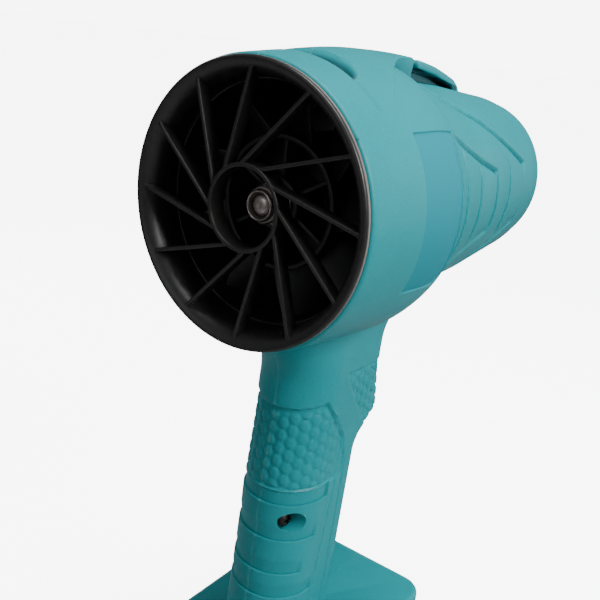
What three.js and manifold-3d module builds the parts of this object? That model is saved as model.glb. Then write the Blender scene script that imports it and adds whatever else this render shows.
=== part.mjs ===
// Cordless car dryer blower: a ducted fan in a two-piece pistol housing, run by a slide-on battery.
// Millimetres. +X is the way the air goes, +Y is left, +Z is up. Everything is first laid out from
// the airflow axis, with x = 0 at the intake lip, and one group then stands it on the battery.
import * as THREE from "three";
import { mergeVertices } from "three/addons/utils/BufferGeometryUtils.js";
import Module from "manifold-3d";

const wasm = await Module();
wasm.setup();

// ---- Driving dimensions ----------------------------------------------------------------------
const GAP = 0.3; // between pieces that touch
const RUN = 0.5; // round pieces that turn or slide
const WALL = 2.6; // moulded wall of the housing

// Fan barrel
const INTAKE_R = 51; // outer radius of the intake ring
const LIP = 2.7; // the ring stands this far out of the housing
const GUARD_LENGTH = 14; // intake ring, lip to inner end
const THROAT_R = 44; // narrowest radius of the bell mouth
const MOUTH_R = 51.8; // housing at the intake
const SHELL_R = 56.4; // housing at its fattest
const SHOULDER_X = 66; // the shell steps down here
const TAPER_R = 52.4; // nozzle cone just past the shoulder
const TAPER_FLARE = 4.2; // part of the cone's radius that fades in its first third
const NOZZLE_X = 188; // front rim
const NOZZLE_R = 37.8; // cone at the rim

// Finger guard
const VANES = 12;
const VANE_T = 1.5;
const VANE_DEPTH = 6;
const VANE_OFFSET = 12; // the vanes pass this far beside the axis
const VANE_TURN = 13.1; // degrees, first vane from upright
const GUARD_HUB_R = 15.8;
const GUARD_HUB_T = 1.6;

// Impeller and motor
const SHAFT_R = 4;
const NUT_X = 10.4; // free face of the nut
const NUT_H = 8;
const NUT_FLATS = 13;
const WASHER_T = 1;
const WASHER_R = 8;
const FAN_LENGTH = 22;
const FAN_R = 42.8;
const FAN_HUB_R = 25;
const FAN_BOSS_R = 10;
const FAN_BLADES = 9;
const FAN_SPOKES = 6;
const DUCT_END = 84; // end of the fan duct's tube
const DUCT_WALL = 2;
const POD_END = 106;
const POD_WALL = 2;
const STATOR_VANES = 7;
const STATOR_R = 20;
const STATOR_LENGTH = 26;
const ROTOR_R = 10;
const MAGNET_T = 2;
const BEARING_R = 9.5;
const BEARING_T = 6;
const COILS = 6;
const CONE_LENGTH = 44;

// Grip
const GRIP_HALF = 19;
const GRIP_DEPTH = 46.5;
const GRIP_CORNER = 9;
const GRIP_LEAN = 4; // degrees
const PALM_X = 29.5; // back of the grip at its middle height
const GRIP_MID = -140;
const CHEEK_HALF = 17.5;
const CHEEK_X = 93;
const CHEEK_TOP = -66;
const CHEEK_LOW = -99;
const TRIGGER_HALF = 7.5;
const TRIGGER_TRAVEL = 7;
const TRIGGER_REACH = 6.5; // trigger in front of the cheeks
const SCREW_R = 2;
const SCREW_HEAD_R = 3.8;
const SCREW_WELL_R = 4.7;
const SCREW_BOSS_T = 1.6; // wall round a screw well

// Hanging hook on top
const HOOK_HALF = 6;
const HOOK_X = 103;
const HOOK_END = 146;
const HOOK_T = 3.6;

// Foot and battery
const FOOT_TOP = -208.8;
const FOOT_H = 19;
const FOOT_FRONT = 126.7;
const FOOT_LENGTH = 112;
const FOOT_HALF = 40;
const FOOT_CORNER = 10;
const RAIL_T = 3.6;
const RAIL_REACH = 8;
const PACK_H = 44; // battery below the foot
const PACK_SPLIT = 17; // battery cover above its base
const PACK_WALL = 2.4;
const CELL_R = 9.1;
const CELL_LENGTH = 65;
const CELL_COLUMNS = 5;
const CELL_ROWS = 2;
const BUTTON_HALF = 17;
const BUTTON_TRAVEL = 4;
const TOWER_R = 3.3; // screw towers in the pack
const TOWER_IN = 4; // tower centres from the pack's ends

// ---- Places worked out from them -------------------------------------------------------------
const FOOT_BOTTOM = FOOT_TOP - FOOT_H;
const FOOT_BACK = FOOT_FRONT - FOOT_LENGTH;
const FOOT_MID = FOOT_BACK + FOOT_LENGTH / 2;
const PACK_TOP = FOOT_BOTTOM - GAP;
const PACK_BOTTOM = PACK_TOP - PACK_H;
const DUCT_R = FAN_R + RUN; // inside of the fan duct
const FAN_X = NUT_X + NUT_H + WASHER_T + 2 * GAP;
const FAN_END = FAN_X + FAN_LENGTH;
const POD_X = FAN_END + 2 * GAP + RUN;
const POD_R = FAN_HUB_R;
const STATOR_X = POD_X + 14;
const TRIGGER_X = CHEEK_X + TRIGGER_REACH;
const BOARD_X = PALM_X + 24;
const BOARD_T = 1.6;
const BOARD_HALF = 13;
const BOARD_LOW = GRIP_MID - 42;
const BOARD_HIGH = GRIP_MID + 22;
const rad = THREE.MathUtils.degToRad;

function shellRadius(x) {
  const t = THREE.MathUtils.clamp((x - LIP) / (SHOULDER_X - LIP), 0, 1);
  return MOUTH_R + (SHELL_R - MOUTH_R) * Math.sin((t * Math.PI) / 2);
}

function taperRadius(x) {
  const left = 1 - (x - SHOULDER_X) / (NOZZLE_X - SHOULDER_X);
  return NOZZLE_R + (TAPER_R - NOZZLE_R - TAPER_FLARE) * left + TAPER_FLARE * left ** 6;
}

// ---- Turning geometry into solids and back ---------------------------------------------------
function solid(geometry) {
  const bare = geometry.clone();
  bare.deleteAttribute("normal");
  bare.deleteAttribute("uv");
  const merged = mergeVertices(bare, 1e-4);
  const position = merged.attributes.position;
  const kept = [];
  let volume = 0;
  const [a, b, c] = [new THREE.Vector3(), new THREE.Vector3(), new THREE.Vector3()];
  for (let i = 0; i < merged.index.count; i += 3) {
    const corners = [0, 1, 2].map((k) => merged.index.getX(i + k));
    if (new Set(corners).size < 3) continue;
    a.fromBufferAttribute(position, corners[0]);
    b.fromBufferAttribute(position, corners[1]);
    c.fromBufferAttribute(position, corners[2]);
    volume += a.dot(b.clone().cross(c));
    kept.push(...corners);
  }
  if (volume < 0) kept.reverse();
  const mesh = new wasm.Mesh({
    numProp: 3,
    vertProperties: new Float32Array(position.array),
    triVerts: new Uint32Array(kept),
  });
  return new wasm.Manifold(mesh);
}

function geometryOf(manifold) {
  const { vertProperties, triVerts } = manifold.getMesh();
  const geometry = new THREE.BufferGeometry();
  geometry.setAttribute("position", new THREE.BufferAttribute(new Float32Array(vertProperties), 3));
  geometry.setIndex(new THREE.BufferAttribute(new Uint32Array(triVerts), 1));
  geometry.computeVertexNormals();
  return geometry;
}

function joined(...parts) {
  return parts.reduce((whole, part) => whole.add(part));
}

// ---- Shapes along the axes -------------------------------------------------------------------
// A profile of [x, radius] points turned around the X axis; a closed profile makes a ring.
function turned(profile, segments = 36) {
  const points = profile.map(([x, r]) => new THREE.Vector2(r, x));
  return solid(new THREE.LatheGeometry(points, segments).rotateZ(-Math.PI / 2));
}

function ring(x0, x1, inner, outer, segments = 32) {
  return turned([[x0, inner], [x0, outer], [x1, outer], [x1, inner], [x0, inner]], segments);
}

function drum(x0, x1, r, segments = 32) {
  return turned([[x0, 0], [x0, r], [x1, r], [x1, 0]], segments);
}

function box(x0, x1, y0, y1, z0, z1) {
  const geometry = new THREE.BoxGeometry(x1 - x0, y1 - y0, z1 - z0);
  return solid(geometry.translate((x0 + x1) / 2, (y0 + y1) / 2, (z0 + z1) / 2));
}

function peg(x, z, r, y0, y1, segments = 16) {
  const geometry = new THREE.CylinderGeometry(r, r, y1 - y0, segments);
  return solid(geometry.translate(x, (y0 + y1) / 2, z));
}

function post(x, y, r, z0, z1, segments = 12) {
  const geometry = new THREE.CylinderGeometry(r, r, z1 - z0, segments).rotateX(Math.PI / 2);
  return solid(geometry.translate(x, y, (z0 + z1) / 2));
}

function outline(points) {
  return new THREE.Shape(points.map(([u, v]) => new THREE.Vector2(u, v)));
}

// A shape in the X-Z plane, as thick as y0 to y1
function plateY(shape, y0, y1, curveSegments = 5) {
  const options = { depth: y1 - y0, bevelEnabled: false, curveSegments };
  return solid(new THREE.ExtrudeGeometry(shape, options).rotateX(Math.PI / 2).translate(0, y1, 0));
}

// A shape in the X-Y plane, from z0 up to z1
function plateZ(shape, z0, z1, curveSegments = 5) {
  const options = { depth: z1 - z0, bevelEnabled: false, curveSegments };
  return solid(new THREE.ExtrudeGeometry(shape, options).translate(0, 0, z0));
}

function roundedRect(x0, x1, half, corner) {
  const shape = new THREE.Shape();
  shape.moveTo(x0 + corner, -half);
  shape.lineTo(x1 - corner, -half);
  shape.absarc(x1 - corner, corner - half, corner, -Math.PI / 2, 0);
  shape.lineTo(x1, half - corner);
  shape.absarc(x1 - corner, half - corner, corner, 0, Math.PI / 2);
  shape.lineTo(x0 + corner, half);
  shape.absarc(x0 + corner, half - corner, corner, Math.PI / 2, Math.PI);
  shape.lineTo(x0, corner - half);
  shape.absarc(x0 + corner, corner - half, corner, Math.PI, 1.5 * Math.PI);
  return shape;
}

// A wire or spring: a round section swept along a curve
function swept(curve, r, steps, sides = 3) {
  const section = new THREE.Shape();
  section.absarc(0, 0, r, 0, 2 * Math.PI);
  const options = { steps, bevelEnabled: false, extrudePath: curve, curveSegments: sides };
  return solid(new THREE.ExtrudeGeometry(section, options));
}

function coilSpring(start, axis, length, radius, wire, turns) {
  const along = new THREE.Vector3(...axis);
  const side = Math.abs(along.x) > 0.5 ? new THREE.Vector3(0, 1, 0) : new THREE.Vector3(1, 0, 0);
  const other = along.clone().cross(side);
  const curve = new THREE.Curve();
  curve.getPoint = (t, target = new THREE.Vector3()) => {
    const turn = 2 * Math.PI * turns * t;
    return target
      .set(...start)
      .addScaledVector(along, length * t)
      .addScaledVector(side, radius * Math.cos(turn))
      .addScaledVector(other, radius * Math.sin(turn));
  };
  return swept(curve, wire, turns * 8, 2);
}

// ---- The finished pieces ---------------------------------------------------------------------
const blower = new THREE.Group();
blower.position.set(-FOOT_MID, 0, -PACK_BOTTOM);

const finish = (color, roughness, metalness = 0) => ({ color, roughness, metalness });
const TEAL = finish(0x3fa3ad, 0.45);
const BLACK = finish(0x17181a, 0.5);
const STEEL = finish(0xb9bcc0, 0.3, 1);
const COPPER = finish(0xb5673a, 0.35, 1);
const DARK_STEEL = finish(0x55585c, 0.45, 1);
const GREEN = finish(0x1d6b45, 0.5);
const WRAP = finish(0x2f6fb0, 0.4);

function piece(name, manifold, look) {
  const mesh = new THREE.Mesh(geometryOf(manifold), new THREE.MeshStandardMaterial(look));
  mesh.name = name;
  blower.add(mesh);
  return mesh;
}

// ---- Housing: two moulded halves that meet on the middle plane -------------------------------
function barrel(inset) {
  const profile = [];
  const start = inset ? -1 : LIP + GAP;
  const end = inset ? NOZZLE_X + 1 : NOZZLE_X;
  const step = inset ? SHOULDER_X - inset : SHOULDER_X;
  profile.push([start, 0]);
  for (let i = 0; i <= 4; i += 1) {
    const x = start + ((step - 1 - start) * i) / 4;
    profile.push([x, shellRadius(x) - inset]);
  }
  profile.push([step, shellRadius(step) - inset - 1]);
  for (let i = 0; i <= 6; i += 1) {
    const x = step + 0.5 + ((end - step - 0.5) * i) / 6;
    profile.push([x, taperRadius(Math.max(x, SHOULDER_X)) - inset]);
  }
  profile.push([end, 0]);
  return turned(profile);
}

// The shell runs on over the nozzle as a tongue, and the hook's free end faces it across a slit.
function topTongue() {
  const plan = new THREE.Shape();
  plan.moveTo(SHOULDER_X - 8, -24);
  plan.quadraticCurveTo(SHOULDER_X + 12, -8, HOOK_X - 6, -HOOK_HALF - 1);
  plan.lineTo(HOOK_X - 6, HOOK_HALF + 1);
  plan.quadraticCurveTo(SHOULDER_X + 12, 8, SHOULDER_X - 8, 24);
  return plateZ(plan, 0, SHELL_R).intersect(drum(SHOULDER_X - 9, HOOK_X, SHELL_R - 1));
}

function hookTop(x) {
  const t = (x - HOOK_X) / (NOZZLE_X - HOOK_X);
  return SHELL_R - 2 - 10 * t - 8 * t * t;
}

function hook() {
  const profile = [];
  const tail = HOOK_END + 22;
  for (let i = 0; i <= 5; i += 1) {
    const x = HOOK_X + ((tail - HOOK_X) * i) / 5;
    profile.push([x, Math.max(hookTop(x), taperRadius(x) - 1)]);
  }
  profile.push([tail, taperRadius(tail) - WALL]);
  profile.push([HOOK_END, taperRadius(HOOK_END) - WALL]);
  profile.push([HOOK_END, hookTop(HOOK_END) - HOOK_T + 0.6]);
  profile.push([(HOOK_X + HOOK_END) / 2, hookTop((HOOK_X + HOOK_END) / 2) - HOOK_T]);
  profile.push([HOOK_X, hookTop(HOOK_X) - HOOK_T]);
  return plateY(outline(profile), -HOOK_HALF, HOOK_HALF);
}

function gripSection(inset) {
  const half = GRIP_HALF - inset;
  const front = PALM_X + GRIP_DEPTH - inset;
  const corner = GRIP_CORNER - Math.min(inset, GRIP_CORNER - 2);
  const back = PALM_X + GRIP_HALF;
  const shape = new THREE.Shape();
  shape.moveTo(back, -half);
  shape.lineTo(front - corner, -half);
  shape.absarc(front - corner, corner - half, corner, -Math.PI / 2, 0);
  shape.lineTo(front, half - corner);
  shape.absarc(front - corner, half - corner, corner, 0, Math.PI / 2);
  shape.lineTo(back, half);
  shape.absarc(back, 0, half, Math.PI / 2, 1.5 * Math.PI);
  return shape;
}

function grip(inset) {
  const top = -THROAT_R - (inset ? 0 : 2);
  const bottom = FOOT_TOP - (inset ? 4 : 1);
  const pivot = new THREE.Vector3(PALM_X, 0, GRIP_MID);
  const depth = top - bottom;
  const options = { depth, bevelEnabled: false, curveSegments: 7 };
  const geometry = new THREE.ExtrudeGeometry(gripSection(inset), options).translate(0, 0, bottom);
  geometry.translate(-pivot.x, 0, -pivot.z).rotateY(rad(GRIP_LEAN)).translate(pivot.x, 0, pivot.z);
  return solid(geometry);
}

// The wide part beside the trigger, with a web that runs forward under the nozzle
function cheeks(inset) {
  const front = CHEEK_X - inset;
  const side = outline([
    [PALM_X + 28, -THROAT_R + 2],
    [front + 14, -THROAT_R + 2],
    [front + 9, CHEEK_TOP + 8 + inset],
    [front, CHEEK_TOP],
    [front, CHEEK_LOW + inset],
    [front - 14, CHEEK_LOW - 16 + inset],
    [PALM_X + 28, CHEEK_LOW - 16 + inset],
  ]);
  const half = CHEEK_HALF - inset;
  const plan = roundedRect(PALM_X + 20, front + 16, half, 8);
  const rounding = plateZ(plan, CHEEK_LOW - 20, 0);
  const nose = plateZ(roundedRect(PALM_X + 20, front, half, 8), CHEEK_LOW - 20, CHEEK_TOP + 4);
  const high = box(0, NOZZLE_X, -half, half, CHEEK_TOP, 0);
  return plateY(side, -half, half).intersect(joined(nose, rounding.intersect(high)));
}

function web() {
  const side = outline([
    [CHEEK_X - 20, -THROAT_R + 4],
    [NOZZLE_X - 46, -THROAT_R + 6],
    [NOZZLE_X - 56, -THROAT_R - 3],
    [CHEEK_X + 16, CHEEK_TOP + 9],
    [CHEEK_X - 2, CHEEK_TOP - 2],
    [CHEEK_X - 20, CHEEK_TOP - 2],
  ]);
  return plateY(side, -HOOK_HALF * 2, HOOK_HALF * 2);
}

function footShell() {
  const outer = plateZ(roundedRect(FOOT_BACK, FOOT_FRONT, FOOT_HALF, FOOT_CORNER), FOOT_BOTTOM, FOOT_TOP);
  const half = FOOT_HALF - WALL - 0.4;
  const ceiling = FOOT_TOP - WALL;
  const channel = box(FOOT_BACK + WALL, FOOT_FRONT + 1, -half, half, FOOT_BOTTOM + RAIL_T, ceiling);
  const mouth = half - RAIL_REACH;
  const slot = box(FOOT_BACK + WALL, FOOT_FRONT + 1, -mouth, mouth, FOOT_BOTTOM - 1, ceiling);
  return outer.subtract(channel).subtract(slot);
}

// Clamshell screws: one in the grip, and two where the grip meets the foot
const SCREWS = [
  { x: PALM_X + 7, z: GRIP_MID + 3 },
  { x: PALM_X + 5, z: FOOT_TOP + 8 },
  { x: PALM_X + GRIP_DEPTH - 14, z: FOOT_TOP + 8 },
];
const SCREW_HEAD_Y = 8.5; // screw heads seat this far right of the middle plane

function screwBosses() {
  return joined(...SCREWS.map((s) => peg(s.x, s.z, SCREW_WELL_R + SCREW_BOSS_T, 1 - GRIP_HALF, GRIP_HALF - 1)));
}

function screwHoles() {
  const wells = SCREWS.map((s) => peg(s.x, s.z, SCREW_WELL_R, -GRIP_HALF - 5, -SCREW_HEAD_Y));
  const holes = SCREWS.map((s) => peg(s.x, s.z, SCREW_R + GAP, -SCREW_HEAD_Y - 1, 12));
  return joined(...wells, ...holes);
}

function ductSeats() {
  const fit = DUCT_R + DUCT_WALL + GAP;
  const front = GUARD_LENGTH + 8;
  const back = DUCT_END - 6;
  const outletSeat = ring(NOZZLE_X - 14, NOZZLE_X - 11, NOZZLE_R - 6.5, NOZZLE_R - WALL / 2);
  const frontSeat = ring(front, front + 3, fit, shellRadius(front) - WALL / 2);
  const backSeat = ring(back, back + 3, fit, taperRadius(back) - WALL / 2);
  return joined(frontSeat, backSeat, outletSeat);
}

// Short grooved ribs on both walls of the grip hold the control board by its edges.
function boardRails() {
  const groove = box(BOARD_X - GAP, BOARD_X + BOARD_T + GAP, -BOARD_HALF - GAP, BOARD_HALF + GAP, -300, 0);
  const rib = (z) => box(BOARD_X - 2, BOARD_X + BOARD_T + 2, -GRIP_HALF + 1, GRIP_HALF - 1, z, z + 4);
  const middle = box(BOARD_X - 3, BOARD_X + BOARD_T + 3, 1 - BOARD_HALF, BOARD_HALF - 1, -300, 0);
  return joined(rib(BOARD_LOW + 10), rib(BOARD_HIGH - 14)).subtract(groove).subtract(middle);
}

function rearPocket() {
  const pocket = ring(21, 34, shellRadius(27) - 1.5, SHELL_R + 4);
  return pocket.intersect(box(20, 35, -25, 25, 0, SHELL_R + 4));
}

function triggerWindow() {
  const half = TRIGGER_HALF + RUN;
  return box(CHEEK_X - 20, CHEEK_X + 20, -half, half, CHEEK_LOW - RUN, CHEEK_TOP - 2 + RUN);
}

function housing() {
  const floor = box(0, NOZZLE_X, -GRIP_DEPTH, GRIP_DEPTH, FOOT_BOTTOM - 10, FOOT_TOP - WALL / 2);
  const skin = joined(barrel(0), topTongue(), hook(), grip(0).subtract(floor), cheeks(0), web());
  const gripHole = grip(WALL);
  const inner = joined(barrel(WALL), gripHole, cheeks(WALL));
  const bosses = screwBosses();
  const cut = inner.subtract(bosses);
  const shell = joined(skin, footShell().subtract(gripHole)).subtract(cut);
  const ribs = ductSeats().add(boardRails());
  return joined(shell, ribs).subtract(screwHoles()).subtract(rearPocket()).subtract(triggerWindow());
}

function housingHalves() {
  const whole = housing();
  const edge = GAP / 2;
  const left = box(-10, NOZZLE_X + 10, edge, 80, PACK_BOTTOM, 80);
  const right = box(-10, NOZZLE_X + 10, -80, -edge, PACK_BOTTOM, 80);
  piece("housing_left", whole.intersect(left), TEAL);
  piece("housing_right", whole.intersect(right), TEAL);
}

// ---- Intake ring with its finger guard: one black moulding -----------------------------------
function intakeGuard() {
  const bell = [];
  const flare = INTAKE_R - 0.4 - THROAT_R;
  for (let i = 0; i <= 5; i += 1) {
    const turn = (i / 5) * (Math.PI / 2);
    bell.push([(GUARD_LENGTH - 2) * (1 - Math.cos(turn)), INTAKE_R - 0.4 - flare * Math.sin(turn)]);
  }
  const skirt = MOUTH_R - WALL - GAP;
  const profile = [
    ...bell,
    [GUARD_LENGTH, THROAT_R],
    [GUARD_LENGTH, skirt],
    [LIP, skirt],
    [LIP, INTAKE_R],
    [0, INTAKE_R],
    bell[0],
  ];
  const hub = ring(0.4, VANE_DEPTH + 2, GUARD_HUB_R - GUARD_HUB_T, GUARD_HUB_R, 28);
  let guard = turned(profile, 48).add(hub);
  const reach = Math.sqrt((GUARD_HUB_R - GUARD_HUB_T / 2) ** 2 - VANE_OFFSET ** 2);
  const limit = drum(-1, VANE_DEPTH + 3, skirt - GAP, 48);
  for (let i = 0; i < VANES; i += 1) {
    const length = INTAKE_R - reach;
    const vane = new THREE.BoxGeometry(VANE_DEPTH, VANE_T, length);
    vane.translate(0.4 + VANE_DEPTH / 2, VANE_OFFSET, reach + length / 2);
    vane.rotateX(rad(VANE_TURN) + (i * 2 * Math.PI) / VANES);
    guard = guard.add(solid(vane).intersect(limit));
  }
  piece("intake_guard", guard, BLACK);
}

// ---- Impeller, its nut and its washer --------------------------------------------------------
function blade(chord, thickness, pitch, twist, r0, r1) {
  const section = new THREE.Shape();
  section.moveTo(-chord / 2, 0);
  section.quadraticCurveTo(0, thickness * 1.8, chord / 2, 0);
  section.quadraticCurveTo(0, -thickness * 0.2, -chord / 2, 0);
  const options = { depth: r1 - r0, steps: 4, bevelEnabled: false, curveSegments: 4 };
  const geometry = new THREE.ExtrudeGeometry(section, options);
  const position = geometry.attributes.position;
  for (let i = 0; i < position.count; i += 1) {
    const turn = rad(pitch - (twist * position.getZ(i)) / (r1 - r0));
    const u = position.getX(i);
    const v = position.getY(i);
    position.setX(i, u * Math.cos(turn) - v * Math.sin(turn));
    position.setY(i, u * Math.sin(turn) + v * Math.cos(turn));
  }
  return geometry.translate(0, 0, r0);
}

function around(geometry, count, phase = 0) {
  const copies = [];
  for (let i = 0; i < count; i += 1) {
    copies.push(solid(geometry.clone().rotateX(phase + (i * 2 * Math.PI) / count)));
  }
  return joined(...copies);
}

function impeller() {
  const rim = ring(FAN_X + 1, FAN_END, FAN_HUB_R - 2, FAN_HUB_R, 32);
  const boss = ring(FAN_X, FAN_END, SHAFT_R + GAP, FAN_BOSS_R, 20);
  const disc = ring(FAN_END - 5, FAN_END - 3, FAN_BOSS_R - 1, FAN_HUB_R - 1, 32);
  const spoke = new THREE.BoxGeometry(FAN_LENGTH - 7, 1.6, FAN_HUB_R - FAN_BOSS_R);
  spoke.translate(FAN_X + 3 + (FAN_LENGTH - 7) / 2, 0, (FAN_HUB_R + FAN_BOSS_R) / 2 - 0.5);
  const blades = blade(FAN_LENGTH * 1.1, 1.6, 58, 22, FAN_HUB_R - 1.4, FAN_R + 1);
  blades.translate(FAN_X + FAN_LENGTH / 2 + 0.5, 0, 0);
  const tips = drum(FAN_X, FAN_END, FAN_R, 48);
  const wheel = joined(rim, boss, disc, around(spoke, FAN_SPOKES));
  piece("impeller", wheel.add(around(blades, FAN_BLADES).intersect(tips)), BLACK);
}

function impellerFixing() {
  const bore = drum(NUT_X - 1, NUT_X + NUT_H + 1, SHAFT_R + GAP, 24);
  const hexHeight = NUT_H * 0.74;
  const hexGeometry = new THREE.CylinderGeometry(NUT_FLATS / Math.sqrt(3), NUT_FLATS / Math.sqrt(3), hexHeight, 6);
  hexGeometry.rotateZ(Math.PI / 2).translate(NUT_X + NUT_H - hexHeight / 2, 0, 0);
  const collar = drum(NUT_X, NUT_X + NUT_H - 1, NUT_FLATS * 0.455, 24);
  piece("impeller_nut", solid(hexGeometry).add(collar).subtract(bore), STEEL);
  const washerX = NUT_X + NUT_H + GAP;
  piece("impeller_washer", ring(washerX, washerX + WASHER_T, SHAFT_R + GAP, WASHER_R, 24), STEEL);
}

// ---- Motor: brushless, inside the pod --------------------------------------------------------
const FRONT_BEARING_X = POD_X + POD_WALL + GAP;
const STATOR_END = STATOR_X + STATOR_LENGTH;
const BACK_BEARING_X = STATOR_END + 14;
const SHAFT_END = BACK_BEARING_X + BEARING_T + 1;
const CUP_R = BEARING_R + 2.2;

function motorShaft() {
  piece("motor_shaft", drum(NUT_X + 0.8, SHAFT_END, SHAFT_R, 24), STEEL);
}

function bearing(name, x) {
  const groove = ring(x - 1, x + BEARING_T + 1, BEARING_R * 0.62, BEARING_R * 0.62 + GAP, 24);
  const fixed = ring(x, x + BEARING_T, SHAFT_R + GAP, BEARING_R, 24);
  const parts = fixed.subtract(groove);
  const inner = parts.intersect(drum(x - 1, x + BEARING_T + 1, BEARING_R * 0.62 + GAP / 2, 24));
  const outer = parts.subtract(drum(x - 1, x + BEARING_T + 1, BEARING_R * 0.62 + GAP / 2, 24));
  piece(name + "_inner_race", inner, STEEL);
  piece(name + "_outer_race", outer, DARK_STEEL);
}

function rotor() {
  const steel = ROTOR_R - MAGNET_T;
  piece("rotor_core", ring(STATOR_X, STATOR_END, SHAFT_R + GAP, steel - GAP, 24), DARK_STEEL);
  piece("rotor_magnets", ring(STATOR_X + 1, STATOR_END - 1, steel, ROTOR_R, 24), STEEL);
}

function stator() {
  const yoke = ring(STATOR_X, STATOR_END, STATOR_R - 3, STATOR_R, 32);
  const toothIn = ROTOR_R + 0.6;
  const tooth = new THREE.BoxGeometry(STATOR_LENGTH, 3.4, STATOR_R - 1.5 - toothIn);
  tooth.translate(STATOR_X + STATOR_LENGTH / 2, 0, (STATOR_R - 1.5 + toothIn) / 2);
  const bore = drum(STATOR_X - 1, STATOR_END + 1, toothIn + 0.1, 24);
  piece("stator_core", yoke.add(around(tooth, COILS)).subtract(bore), DARK_STEEL);
  const bottom = ROTOR_R + 1.4;
  const height = STATOR_R - 3 - GAP - 0.6 - bottom;
  const mid = bottom + height / 2;
  const overhang = 3;
  const block = new THREE.BoxGeometry(STATOR_LENGTH + 2 * overhang, 7, height);
  const hole = new THREE.BoxGeometry(STATOR_LENGTH + 2 * GAP, 3.4 + 2 * GAP, height + 2);
  for (const geometry of [block, hole]) geometry.translate(STATOR_X + STATOR_LENGTH / 2, 0, mid);
  for (let i = 0; i < COILS; i += 1) {
    const turn = (i * 2 * Math.PI) / COILS;
    const coil = solid(block.clone().rotateX(turn)).subtract(solid(hole.clone().rotateX(turn)));
    piece("stator_coil_" + (i + 1), coil, COPPER);
  }
}

// ---- Fan duct: tube, flow vanes and motor pod in one moulding, and its tail cone --------------
const STRUT_HALF = 3.6; // the bottom vane is a hollow strut for the motor leads
const STRUT_X = STATOR_X - 4;
const LEAD_R = 1.6;

function fanDuct() {
  const tube = ring(GUARD_LENGTH + GAP, DUCT_END, DUCT_R, DUCT_R + DUCT_WALL, 40);
  const can = ring(POD_X, POD_END, POD_R - POD_WALL, POD_R, 32);
  const face = ring(POD_X, POD_X + POD_WALL, SHAFT_R + 2, POD_R - 1, 32);
  const cup = ring(POD_X, FRONT_BEARING_X + BEARING_T, BEARING_R + GAP, CUP_R, 24);
  const seat = ring(STATOR_X, STATOR_END, STATOR_R + GAP, POD_R - 1, 32);
  const vane = new THREE.BoxGeometry(DUCT_END - STATOR_X - 8, 1.8, DUCT_R - POD_R + 2);
  vane.rotateZ(rad(12)).translate((DUCT_END + STATOR_X) / 2 - 2, 0, (DUCT_R + POD_R) / 2);
  const vanes = around(vane, STATOR_VANES).subtract(drum(0, NOZZLE_X, POD_R - 0.5, 32));
  const low = -DUCT_R - DUCT_WALL / 2;
  const strut = box(STRUT_X, STRUT_X + 16, -STRUT_HALF, STRUT_HALF, low, 1 - POD_R);
  const leadWay = box(STRUT_X + 3, STRUT_X + 9, 1.2 - STRUT_HALF, STRUT_HALF - 1.2, low - 5, -STATOR_R - 0.6);
  const keyway = joined(tube, can, face, cup, seat, vanes, strut).subtract(leadWay);
  piece("fan_duct", keyway, BLACK);
}

function tailCone() {
  const spigot = POD_R - POD_WALL - GAP;
  const start = POD_END + GAP;
  const tip = start + CONE_LENGTH;
  const outside = [];
  for (let i = 0; i <= 6; i += 1) {
    const turn = (i / 6) * (Math.PI / 2);
    outside.push([start + CONE_LENGTH * Math.sin(turn), POD_R * Math.cos(turn)]);
  }
  outside[6] = [tip, 0];
  const cone = turned([[start, 0], ...outside], 28);
  const plug = drum(start - 6, start + 2, spigot, 28);
  const cup = drum(BACK_BEARING_X - 2, start + 2, CUP_R, 24);
  const hollow = turned([[start - 7, 0], [start - 7, spigot - 2], [start + 6, spigot - 3], [tip - 12, 0]], 28);
  const socket = drum(BACK_BEARING_X - 3, BACK_BEARING_X + BEARING_T + GAP, BEARING_R + GAP, 24);
  const spin = drum(BACK_BEARING_X, SHAFT_END + 2, SHAFT_R + 2, 24);
  const spokes = box(BACK_BEARING_X + BEARING_T + GAP, start + 4, -1.5, 1.5, 1 - spigot, spigot - 1);
  const body = joined(cone, plug).subtract(hollow);
  piece("tail_cone", joined(body, cup, spokes).subtract(socket).subtract(spin), BLACK);
}

function outletRing() {
  const outer = NOZZLE_R - WALL - GAP - 0.6;
  const x0 = NOZZLE_X - 11 + GAP;
  const profile = [
    [x0, outer - 3],
    [x0, outer],
    [NOZZLE_X - 1, outer],
    [NOZZLE_X + 0.8, outer - 1],
    [NOZZLE_X + 0.8, outer - 2.2],
    [x0, outer - 3],
  ];
  piece("outlet_ring", turned(profile, 40), BLACK);
}

// ---- Trigger, switch, control board and leads ------------------------------------------------
const SWITCH_FRONT = PALM_X + 42;
const SWITCH_BACK = SWITCH_FRONT - 24;
const SWITCH_TOP = CHEEK_TOP - 3;
const SWITCH_LOW = CHEEK_LOW + 1;
const STEM_Z = (CHEEK_TOP + CHEEK_LOW) / 2;

function trigger() {
  const top = CHEEK_TOP - 2;
  const back = CHEEK_X - WALL - 5;
  const side = new THREE.Shape();
  side.moveTo(back, top);
  side.lineTo(TRIGGER_X - 1, top);
  side.quadraticCurveTo(TRIGGER_X - 6, STEM_Z, TRIGGER_X, CHEEK_LOW + 3);
  side.lineTo(TRIGGER_X - 2, CHEEK_LOW);
  side.lineTo(back, CHEEK_LOW);
  const paddle = plateY(side, -TRIGGER_HALF, TRIGGER_HALF);
  const flangeBack = back - 2;
  const flange = box(flangeBack, back + 1, -TRIGGER_HALF - 3, TRIGGER_HALF + 3, CHEEK_LOW - 1, top + 1);
  const stem = box(SWITCH_FRONT - 2, flangeBack + 1, -3, 3, STEM_Z - 4, STEM_Z + 4);
  piece("trigger", joined(paddle, flange, stem), BLACK);
}

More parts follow.
